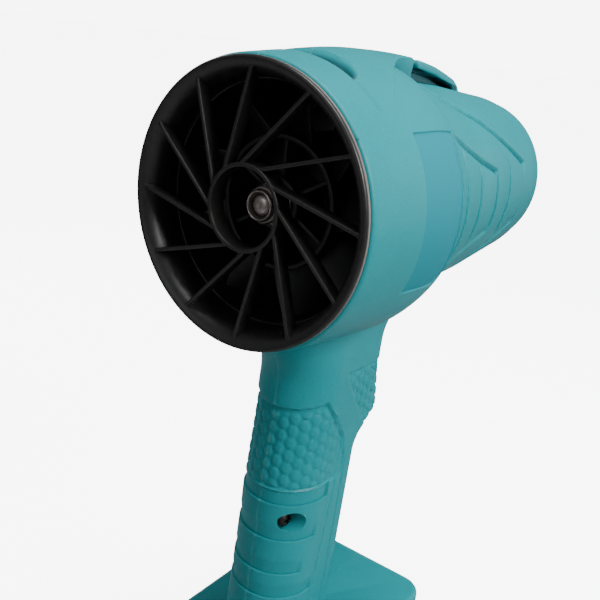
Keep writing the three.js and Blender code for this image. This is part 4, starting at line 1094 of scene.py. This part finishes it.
# ---- Fan duct, motor pod and tail cone ----------------------------------------------------------
# One black moulding holds the motor pod in the middle of the duct on seven flow vanes; the tail
# cone plugs into the pod. Both show through the nozzle and, darkly, through the guard.

DUCT_IN = 43.3
DUCT_START = 14.3
DUCT_END = 84.0
POD_X = 43.1
POD_END = 106.0
POD_RADIUS = 25.0
STATOR_X = 57.1


def fan_duct():
    """The duct's tube, the motor pod's can, face and bearing cup, the flow vanes, and a strut."""
    tube = ring_solid("tube", DUCT_START, DUCT_END, DUCT_IN, DUCT_IN + 2, 0.4, 144)
    can = ring_solid("can", POD_X, POD_END, POD_RADIUS - 2, POD_RADIUS, 0.5, 96)
    face = ring_solid("face", POD_X, POD_X + 2, 6, POD_RADIUS - 1, 0.3, 96)
    cup = ring_solid("cup", POD_X + 0.2, POD_X + 8.3, 9.8, 11.7, 0.2)
    vane_rings = []
    for r in np.linspace(POD_RADIUS - 1.2, DUCT_IN + 1, 10):
        ring = []
        for t in full_turn(24):
            u, v = -9.4 * math.cos(t), 1.1 * math.sin(t)
            lean = 0.022 * (u - 9.4) ** 2 / 2
            ring.append(((DUCT_END + STATOR_X) / 2 - 2 + u, v + lean, r))
        vane_rings.append(ring)
    vanes = round_axis(tube_solid("flow_vane", vane_rings), 7, 0, black)
    strut = box_solid("strut", 53.1, 69.1, -3.6, 3.6, -DUCT_IN - 1, 1.2 - POD_RADIUS)
    return cut_or_join(tube, "UNION", [can, face, cup, vanes, strut])


def tail_cone():
    start, long = POD_END + 0.3, 44
    profile = [(start - 6, 20.5), (start - 6, 22.7), (start, 22.7), (start, POD_RADIUS)]
    for t in np.linspace(0.05, math.pi / 2, 26):
        profile.append((start + long * math.sin(t), max(POD_RADIUS * math.cos(t) ** 0.9, 0.01)))
    profile += [(start + 30, 0.01), (start + 6, 19.5)]
    return turned_solid("cone", profile, 96)


finished(fan_duct(), "flow_duct", black, "blower_body", "black_plastic", "fan_duct")
finished(tail_cone(), "pod_tail_cone", black, "blower_body", "black_plastic", "tail_cone")

# ---- Outlet ring --------------------------------------------------------------------------------
# A black ring pressed into the nozzle's rim; its rounded lip stands just out of the teal.

outer = RIM_RADIUS - WALL - 0.9
lip = [(RIM - 10.7, outer - 3), (RIM - 10.7, outer), (RIM - 0.9, outer)]
for t in np.linspace(0, math.pi, 13):
    lip.append((RIM - 0.55 + 1.3 * math.sin(t), outer - 1.15 + 1.15 * math.cos(t)))
lip.append((RIM - 3.5, outer - 2.7))
lip_ring = turned_solid("lip", lip, 144)
finished(lip_ring, "nozzle_lip_ring", black, "blower_body", "black_plastic", "outlet_ring")

# ---- Trigger ------------------------------------------------------------------------------------
# Black moulded trigger between the cheeks: a paddle hollowed for one finger, with grip lines across
# it, a flange that keeps it in its window and a stem into the switch.

CHEEK_LOW = -99.0
CHEEK_TOP = -66.0
TRIGGER_FRONT = 103.5
TRIGGER_BACK = 89.4
TRIGGER_HALF = 7.5


def trigger():
    """The paddle, level by level from below, with its flange and stem."""
    rings = []
    low, high = CHEEK_LOW, CHEEK_TOP - 2
    for z in np.linspace(low, high, 60):
        t = (z - low) / (high - low)
        hollow = 5.4 * math.sin(math.pi * min(1, max(0, t))) ** 1.1
        lines = 0.28 * max(0.0, math.cos((z - low) * 2 * math.pi / 3.0)) ** 4 * (0.15 < t < 0.85)
        front = TRIGGER_FRONT - 0.2 - hollow + t - lines
        front -= float(rounded_edge(min(z - low, high - z), 2.2))
        ring = []
        for y in np.linspace(-1, 1, 25):
            edge = float(rounded_edge((1 - abs(y)) * TRIGGER_HALF, 2.6))
            crown = 0.5 * y * y
            ring.append((front - edge - crown, y * TRIGGER_HALF, z))
        ring += [(TRIGGER_BACK, TRIGGER_HALF, z), (TRIGGER_BACK, -TRIGGER_HALF, z)]
        rings.append(ring)
    paddle = tube_solid("paddle", rings)
    flange = box_solid("flange", TRIGGER_BACK - 2, TRIGGER_BACK + 0.5, -9.4, 9.4, low + 0.3, high + 1)
    stem = box_solid("stem", 69.5, 88.4, -3, 3, -86.5, -78.5)
    return cut_or_join(paddle, "UNION", [flange, stem])


finished(trigger(), "finger_trigger", black, "trigger", "black_plastic", "trigger")

# ---- Screws -------------------------------------------------------------------------------------
# Black pan-head screws with a cross drive: three clamp the housing halves from the right, and four
# hold the battery's two covers from below. One screw is made and copied to every place.

places_tree, places_in, places_out = node_tree("copies_at_points", {
    "Shape": "NodeSocketObject", "Material": "NodeSocketMaterial",
})
shape = places_tree.nodes.new("GeometryNodeObjectInfo")
places_tree.links.new(places_in.outputs["Shape"], shape.inputs["Object"])
put = places_tree.nodes.new("GeometryNodeInstanceOnPoints")
places_tree.links.new(places_in.outputs["Mesh"], put.inputs["Points"])
places_tree.links.new(shape.outputs["Geometry"], put.inputs["Instance"])
finish_tree(places_tree, put.outputs["Instances"], places_in, places_out)


def screw_shape(head, shank, length, turn):
    """One screw with its seat at the world's origin, its head towards -Y, then turned."""
    pitch, deep = 1.4, 2.4
    dome = ((0, 0.01), (-0.2, 1.2), (0.25, head - 0.9), (0.8, head - 0.25), (1.4, head), (2.3, head))
    profile = [(y - deep, r) for y, r in dome + ((deep, head - 0.1),)] + [(0, shank)]
    for i in range(int(length / pitch)):
        profile += [(0.5 + pitch * i, shank - 0.45), (1.2 + pitch * i, shank)]
    profile += [(length, 0.3), (length, 0.01)]
    ox, oz = LIP_X * 1000, AXIS_Z * 1000
    rings = [[(r * math.cos(a) - ox, y, r * math.sin(a) - oz) for a in full_turn(32)] for y, r in profile]
    screw = tube_solid("screw", rings)
    across = []
    for w, l in ((0.55, head * 0.62), (head * 0.62, 0.55)):
        across.append(box_solid("slot", -w - ox, w - ox, -4, -1.3, -l - oz, l - oz))
    cut_or_join(screw, "DIFFERENCE", across)
    screw.data.transform(turn)
    return screw


def screws(name, spots, head, shank, length, turn, body, *nodes):
    """Copies of one screw at these places, as one piece in place of its nodes."""
    screw = screw_shape(head, shank, length, turn)
    points = new_object(name, spots, [])
    grown(points, places_tree, Shape=screw, Material=screw_steel)
    bpy.data.meshes.remove(screw.data)
    return finished(points, name, screw_steel, body, "bright_steel", *nodes, sharp=30)


screw_steel = turned_steel("black_oxide", (0.055, 0.053, 0.052), 0.42)
clamp_spots = [(x, WELL_FLOOR - 0.3, z) for x, z in SCREW_SPOTS]
screws("clamp_screws", clamp_spots, 3.8, 2.0, 19.8, Matrix.Identity(4), "blower_body",
       "housing_screw_1", "housing_screw_2", "housing_screw_3")

# ---- Battery pack -------------------------------------------------------------------------------
# Two black covers screwed together round ten cells. The upper one carries the sliding deck and the
# release button's well; ribs along its sides give grip, and the lower one has screw posts and vents.

PACK_BACK = 15.2
PACK_FRONT = 126.2
PACK_HALF = 39.5
PACK_TOP = -228.1
PACK_SPLIT = -255.1
PACK_LOW = -272.1
PACK_WALL = 2.4
DECK_BACK = 27.9
DECK_TOP = -211.7
BUTTON_BACK = 118.2
BUTTON_HALF = 17.0
BUTTON_LOW = PACK_SPLIT + 7
BUTTON_SILL = BUTTON_LOW + 0.5
PACK_SCREW_X = (PACK_BACK + 4, PACK_FRONT - 4)
PACK_SCREW_SPOTS = [(x, y, PACK_SPLIT - 6.45) for x in PACK_SCREW_X for y in (-31.5, 31.5)]

row_tree, row_in, row_out = node_tree("copies_in_row", {
    "Count": "NodeSocketInt", "Step": "NodeSocketVector", "Material": "NodeSocketMaterial",
})
row_line = row_tree.nodes.new("GeometryNodeMeshLine")
row_tree.links.new(row_in.outputs["Count"], row_line.inputs["Count"])
row_tree.links.new(row_in.outputs["Step"], row_line.inputs["Offset"])
row_copier = row_tree.nodes.new("GeometryNodeInstanceOnPoints")
row_tree.links.new(row_line.outputs["Mesh"], row_copier.inputs["Points"])
row_tree.links.new(row_in.outputs["Mesh"], row_copier.inputs["Instance"])
finish_tree(row_tree, row_copier.outputs["Instances"], row_in, row_out)


def in_row(obj, count, step):
    """Copies of obj in a row, step millimetres apart."""
    return grown(obj, row_tree, Count=count, Step=[part * 0.001 for part in step], Material=pack_plastic)


def end_rows(start, end, start_round, end_round, shares):
    """Where the sections of a block with rounded ends lie, and how far each draws in."""
    rows = []
    for at, radius, way in ((start, start_round, 1), (end, end_round, -1)):
        for share in (shares[::way] if radius else (0,)):
            rows.append((at + way * share * radius, float(rounded_edge(share * radius, radius))))
    return rows


def pack_block(name, z_low, z_high, top_round, low_round, inset=0.0):
    """Upright block with the pack's rounded plan, and rounded top and bottom edges."""
    rings = []
    for z, cut in end_rows(z_low, z_high, low_round, top_round, (0, 0.04, 0.15, 0.35, 0.62, 1.0)):
        more = inset + cut
        half = PACK_HALF - more
        plan = rounded_plan(PACK_BACK + more, PACK_FRONT - more, -half, half, 10 - inset - cut * 0.6, 12)
        rings.append([(x, y, z) for x, y in plan])
    return tube_solid(name, rings)


def soft_box(name, x0, x1, y0, y1, z0, z1, radius):
    """A box whose edges along X and round its ends are rounded."""
    rings = []
    for x, cut in end_rows(x0, x1, radius, radius, (0, 0.1, 0.4, 1)):
        corner = max(radius - cut * 0.7, 0.05)
        section = rounded_plan(y0 + cut, y1 - cut, z0 + cut, z1 - cut, corner, 4)
        rings.append([(x, y, z) for y, z in section])
    return tube_solid(name, rings)


def upright(name, x, y, radius, z0, z1, segments=40):
    """An upright round bar."""
    circle = [(x + radius * math.cos(a), y + radius * math.sin(a)) for a in full_turn(segments)]
    return tube_solid(name, [[(px, py, z) for px, py in circle] for z in (z0, z1)])


def battery_cover():
    """Upper cover: ribbed grips, a hollow, the sliding deck on top and the button's well in front."""
    low = PACK_SPLIT + 0.15
    shell = pack_block("cover_shell", low, PACK_TOP, 1.6, 0.5)
    grip_z = (low + 7, PACK_TOP - 6)
    sides = (-PACK_HALF, PACK_HALF)
    grips = [soft_box("hollow", 34, 96, y - 0.9, y + 2, *grip_z, 0.8) for y in sides]
    cut_or_join(shell, "DIFFERENCE", grips)
    ribs = [soft_box("rib", 37.2, 38.8, y - 1.3, y - 0.05, *grip_z, 0.35) for y in sides]
    cut_or_join(shell, "UNION", [in_row(rib, 15, (4.0, 0, 0)) for rib in ribs])
    inside = pack_block("inside", low - 1, PACK_TOP - PACK_WALL, 0, 0, PACK_WALL)
    back = box_solid("back", 0, BUTTON_BACK - 1.8, -60, 60, -300, -200)
    cut_or_join(inside, "INTERSECT", [back])
    cut_or_join(shell, "DIFFERENCE", [inside])
    neck = soft_box("neck", DECK_BACK, PACK_FRONT - 2, -29.1, 29.1, PACK_TOP - 3, DECK_TOP, 0.6)
    flange = soft_box("flange", DECK_BACK, PACK_FRONT - 2, -36.7, 36.7, FOOT_LOW + 3.9, DECK_TOP, 0.6)
    cut_or_join(shell, "UNION", [neck, flange])
    behind, above = DECK_BACK - 1, DECK_TOP + 1
    slits = [box_solid("slit", behind, 43.9, y - 1.2, y + 1.2, -223.2, above) for y in (-12, 12)]
    slits.append(box_solid("lead_room", behind, 46.7, -4, 4, DECK_TOP - 5, above))
    across = (-BUTTON_HALF, BUTTON_HALF)
    above = DECK_TOP + 2
    well = box_solid("well", BUTTON_BACK, PACK_FRONT - PACK_WALL, *across, BUTTON_LOW - 5, above)
    window = box_solid("window", BUTTON_BACK + 1, PACK_FRONT + 5, *across, BUTTON_SILL, above)
    return cut_or_join(shell, "DIFFERENCE", slits + [well, window])


def battery_base():
    """Lower cover: screw posts with their wells, and vents in the bottom."""
    high = PACK_SPLIT - 0.15
    shell = pack_block("base_shell", PACK_LOW, high, 0.5, 2.0)
    inside = pack_block("base_inside", PACK_LOW + PACK_WALL, high + 1, 0, 0, PACK_WALL)
    cut_or_join(shell, "DIFFERENCE", [inside])
    posts = [upright("post", x, y, 3.3, PACK_LOW + 1, high) for x, y, _ in PACK_SCREW_SPOTS]
    cut_or_join(shell, "UNION", posts)
    cuts = [upright("well", x, y, 2.5, PACK_LOW - 1, high - 6) for x, y, _ in PACK_SCREW_SPOTS]
    cuts += [upright("hole", x, y, 1.6, PACK_LOW, high + 1, 24) for x, y, _ in PACK_SCREW_SPOTS]
    vent = soft_box("vent", 50, 52, -15, 15, PACK_LOW - 1, PACK_LOW + 0.8, 0.5)
    cuts.append(in_row(vent, 9, (5.0, 0, 0)))
    return cut_or_join(shell, "DIFFERENCE", cuts)


def release_button():
    """A block with a thumb scoop, three ridges and the latch that catches in the foot."""
    top = PACK_TOP - 1
    front = PACK_FRONT - 0.2
    across = (0.5 - BUTTON_HALF, BUTTON_HALF - 0.5)
    body = box_solid("body", BUTTON_BACK + 0.5, PACK_FRONT - 2.9, *across, BUTTON_LOW, top)
    face = soft_box("face", BUTTON_BACK + 0.5, front, *across, BUTTON_SILL + 4.5, top, 0.8)
    cut_or_join(body, "UNION", [face])
    scoop = drum_y("scoop", front + 4.6, BUTTON_LOW + 12.4, 6.4, -13, 13, 64)
    cut_or_join(body, "DIFFERENCE", [scoop])
    ridge = drum_y("ridge", front - 1.55, BUTTON_LOW + 9.6, 0.5, -12.5, 12.5, 20)
    ridges = in_row(ridge, 3, (0, 0, 2.6))
    latch = box_solid("latch", BUTTON_BACK + 0.5, BUTTON_BACK + 5, -8, 8, top - 1, FOOT_TOP - WALL - 3)
    return cut_or_join(body, "UNION", [ridges, latch])


pack_plastic = plastic("pack_plastic", (0.014, 0.0145, 0.016), (0.02, 0.0205, 0.022), (0.09, 0.09, 0.09), 0.5,
                       grain_scale=1300.0, grain_depth=0.00008, speck=0.06, edge=0.3)
finished(battery_cover(), "pack_cover", pack_plastic, "battery_pack", "battery_plastic", "battery_cover")
finished(battery_base(), "pack_base", pack_plastic, "battery_pack", "battery_plastic", "battery_base")
finished(release_button(), "pack_button", black, "release_button", "battery_plastic",
         "battery_release_button")
head_down = Matrix.Rotation(math.radians(90), 4, "X")
screws("pack_screws", PACK_SCREW_SPOTS, 2.2, 1.3, 12, head_down, "battery_pack",
       "battery_screw_1", "battery_screw_2", "battery_screw_3", "battery_screw_4")

# ---- Inside parts -------------------------------------------------------------------------------
# Motor, switch, board, leads, terminals, springs and cells keep their own shapes. Each takes the
# finish of the real thing: stacked laminations, wound wire, masked board, shrink wrap.


def banded(name, color, dark, roughness, axis, per_metre, depth):
    """Metal with fine straight bands across one axis, for windings, laminations and wire."""
    material, tree, shader = new_material(name, roughness, 1.0)
    place = object_place(tree)
    turns = math_node(tree, "MULTIPLY", split_axes(tree, place)[axis], per_metre * 2 * math.pi)
    mask = remap(tree, math_node(tree, "SINE", turns), -1.0, 1.0)
    tree.links.new(mix_color(tree, mask, dark, color), shader.inputs["Base Color"])
    stain = noise(tree, place, 180.0, 3.0)
    rough = remap(tree, stain, 0.3, 0.7, roughness - 0.06, roughness + 0.1)
    tree.links.new(rough, shader.inputs["Roughness"])
    add_bump(tree, shader, mask, depth)
    return material


inside_looks = {
    "steel": banded("drawn_steel", (0.56, 0.57, 0.58), (0.42, 0.42, 0.43), 0.3, "X", 3000, 0.00001),
    "laminations": banded("laminations", (0.30, 0.31, 0.33), (0.08, 0.08, 0.09), 0.45, "X", 1400, 0.00004),
    "magnet": banded("magnet_coat", (0.35, 0.35, 0.37), (0.28, 0.28, 0.30), 0.3, "Y", 400, 0.00001),
    "windings": banded("wound_copper", (0.72, 0.27, 0.11), (0.30, 0.09, 0.03), 0.32, "X", 900, 0.0002),
    "contact": banded("contact_copper", (0.78, 0.40, 0.22), (0.66, 0.33, 0.18), 0.3, "Z", 2500, 0.00001),
    "board": plastic("solder_mask", (0.008, 0.09, 0.035), (0.012, 0.14, 0.05), (0.35, 0.32, 0.2), 0.3,
                     grain_scale=500.0, grain_depth=0.00003, speck=0.7, edge=0.4),
    "lead": plastic("lead_sleeve", (0.30, 0.012, 0.01), (0.38, 0.02, 0.014), (0.5, 0.1, 0.08), 0.45,
                    speck=0.02),
    "wrap": plastic("cell_wrap", (0.012, 0.10, 0.26), (0.018, 0.13, 0.32), (0.2, 0.35, 0.5), 0.35,
                    grain_scale=400.0, grain_depth=0.00003, speck=0.03),
    "housing": plastic("switch_plastic", (0.012, 0.012, 0.013), (0.018, 0.018, 0.019), (0.06, 0.06, 0.06),
                       0.45),
}
inside_nodes = {
    "steel": ["trigger_spring", "release_spring", "front_bearing_inner_race", "back_bearing_inner_race",
              "front_bearing_outer_race", "back_bearing_outer_race"],
    "laminations": ["stator_core", "rotor_core"],
    "magnet": ["rotor_magnets"],
    "windings": [f"stator_coil_{i}" for i in range(1, 7)],
    "contact": ["terminal_positive", "terminal_negative"],
    "board": ["control_board"],
    "lead": ["motor_leads", "battery_leads"],
    "wrap": [f"battery_cell_{i}" for i in range(1, 11)],
    "housing": ["switch_body", "terminal_block"],
}
for look, names in inside_nodes.items():
    for name in names:
        if not nodes[name].material_slots:
            nodes[name].data.materials.append(None)
        for entry in nodes[name].material_slots:
            entry.material = inside_looks[look]

# ---- Floor, light and camera --------------------------------------------------------------------
# A pale floor under an even white sky, a large soft window light from the right and behind, a top
# light, weak ones in front, behind and on the far side, and a camera low behind the right shoulder.

camera_data = bpy.data.cameras.new("camera")
camera_data.sensor_width = 36
camera_data.lens = 46.96
camera_data.clip_start = 0.01
camera = linked("camera", camera_data)
forward = Vector((0.785, 0.533, -0.314)).normalized()
upward = Vector((0.194, 0.269, 0.943))
right = forward.cross(upward).normalized()
upward = right.cross(forward).normalized()
turn = Matrix((right, upward, -forward)).transposed().to_4x4()
camera.matrix_world = Matrix.Translation(Vector(placed([[-204.7, -168.4, 57.1]])[0])) @ turn
bpy.context.scene.camera = camera

FLOOR_REACH = 40000
floor_z = PACK_LOW - 0.2
corners = [(sx * FLOOR_REACH, sy * FLOOR_REACH, floor_z) for sx, sy in ((-1, -1), (1, -1), (1, 1), (-1, 1))]
floor = new_object("floor", corners, [(0, 1, 2, 3)])
floor_material, floor_tree, floor_shader = new_material("floor_paper", 0.9, Specular_IOR_Level=0.1)
mottle = noise(floor_tree, object_place(floor_tree), 3.0)
paper = mix_color(floor_tree, mottle, (0.86, 0.86, 0.865), (0.9, 0.9, 0.905))
floor_seen = floor_tree.nodes.new("ShaderNodeLightPath").outputs["Is Camera Ray"]
paper = mix_color(floor_tree, floor_seen, (0.3, 0.3, 0.3), paper)
glow = math_node(floor_tree, "MULTIPLY", floor_seen, 7.0)
floor_tree.links.new(paper, floor_shader.inputs["Base Color"])
floor_shader.inputs["Emission Color"].default_value = (1, 1, 1, 1)
floor_tree.links.new(glow, floor_shader.inputs["Emission Strength"])
floor.data.materials.append(floor_material)

world = bpy.data.worlds.new("studio")
bpy.context.scene.world = world
world.use_nodes = True
sky = world.node_tree
seen = sky.nodes["Background"]
seen.inputs["Color"].default_value = (1, 1, 1, 1)
seen.inputs["Strength"].default_value = 7.5
lit = sky.nodes.new("ShaderNodeBackground")
lit.inputs["Color"].default_value = (0.93, 0.97, 1, 1)
lit.inputs["Strength"].default_value = 0.17
by_camera = sky.nodes.new("ShaderNodeLightPath")
choice = sky.nodes.new("ShaderNodeMixShader")
sky.links.new(by_camera.outputs["Is Camera Ray"], choice.inputs[0])
sky.links.new(lit.outputs[0], choice.inputs[1])
sky.links.new(seen.outputs[0], choice.inputs[2])
sky.links.new(choice.outputs[0], sky.nodes["World Output"].inputs["Surface"])


middle = Vector(placed([[70, 0, -20]])[0])


def area_light(name, away, size, power):
    """A white panel of light this far away from the object's middle, in metres, facing it."""
    data = bpy.data.lights.new(name, "AREA")
    data.shape = "RECTANGLE"
    data.size, data.size_y = size
    data.energy = power
    light = linked(name, data)
    light.location = middle + Vector(away)
    light.rotation_euler = (-Vector(away)).to_track_quat("-Z", "Y").to_euler()


area_light("window", (-0.06, -0.85, 0.55), (0.5, 0.4), 11.5)
area_light("ceiling", (0.0, -0.15, 0.95), (0.6, 0.6), 10)
area_light("front", (0.9, -0.5, 0.1), (0.35, 0.6), 1.0)
area_light("far side", (0.25, 0.9, 0.35), (0.6, 0.5), 3.5)
area_light("behind", (-0.9, 0.12, 0.28), (0.5, 0.5), 0.8)
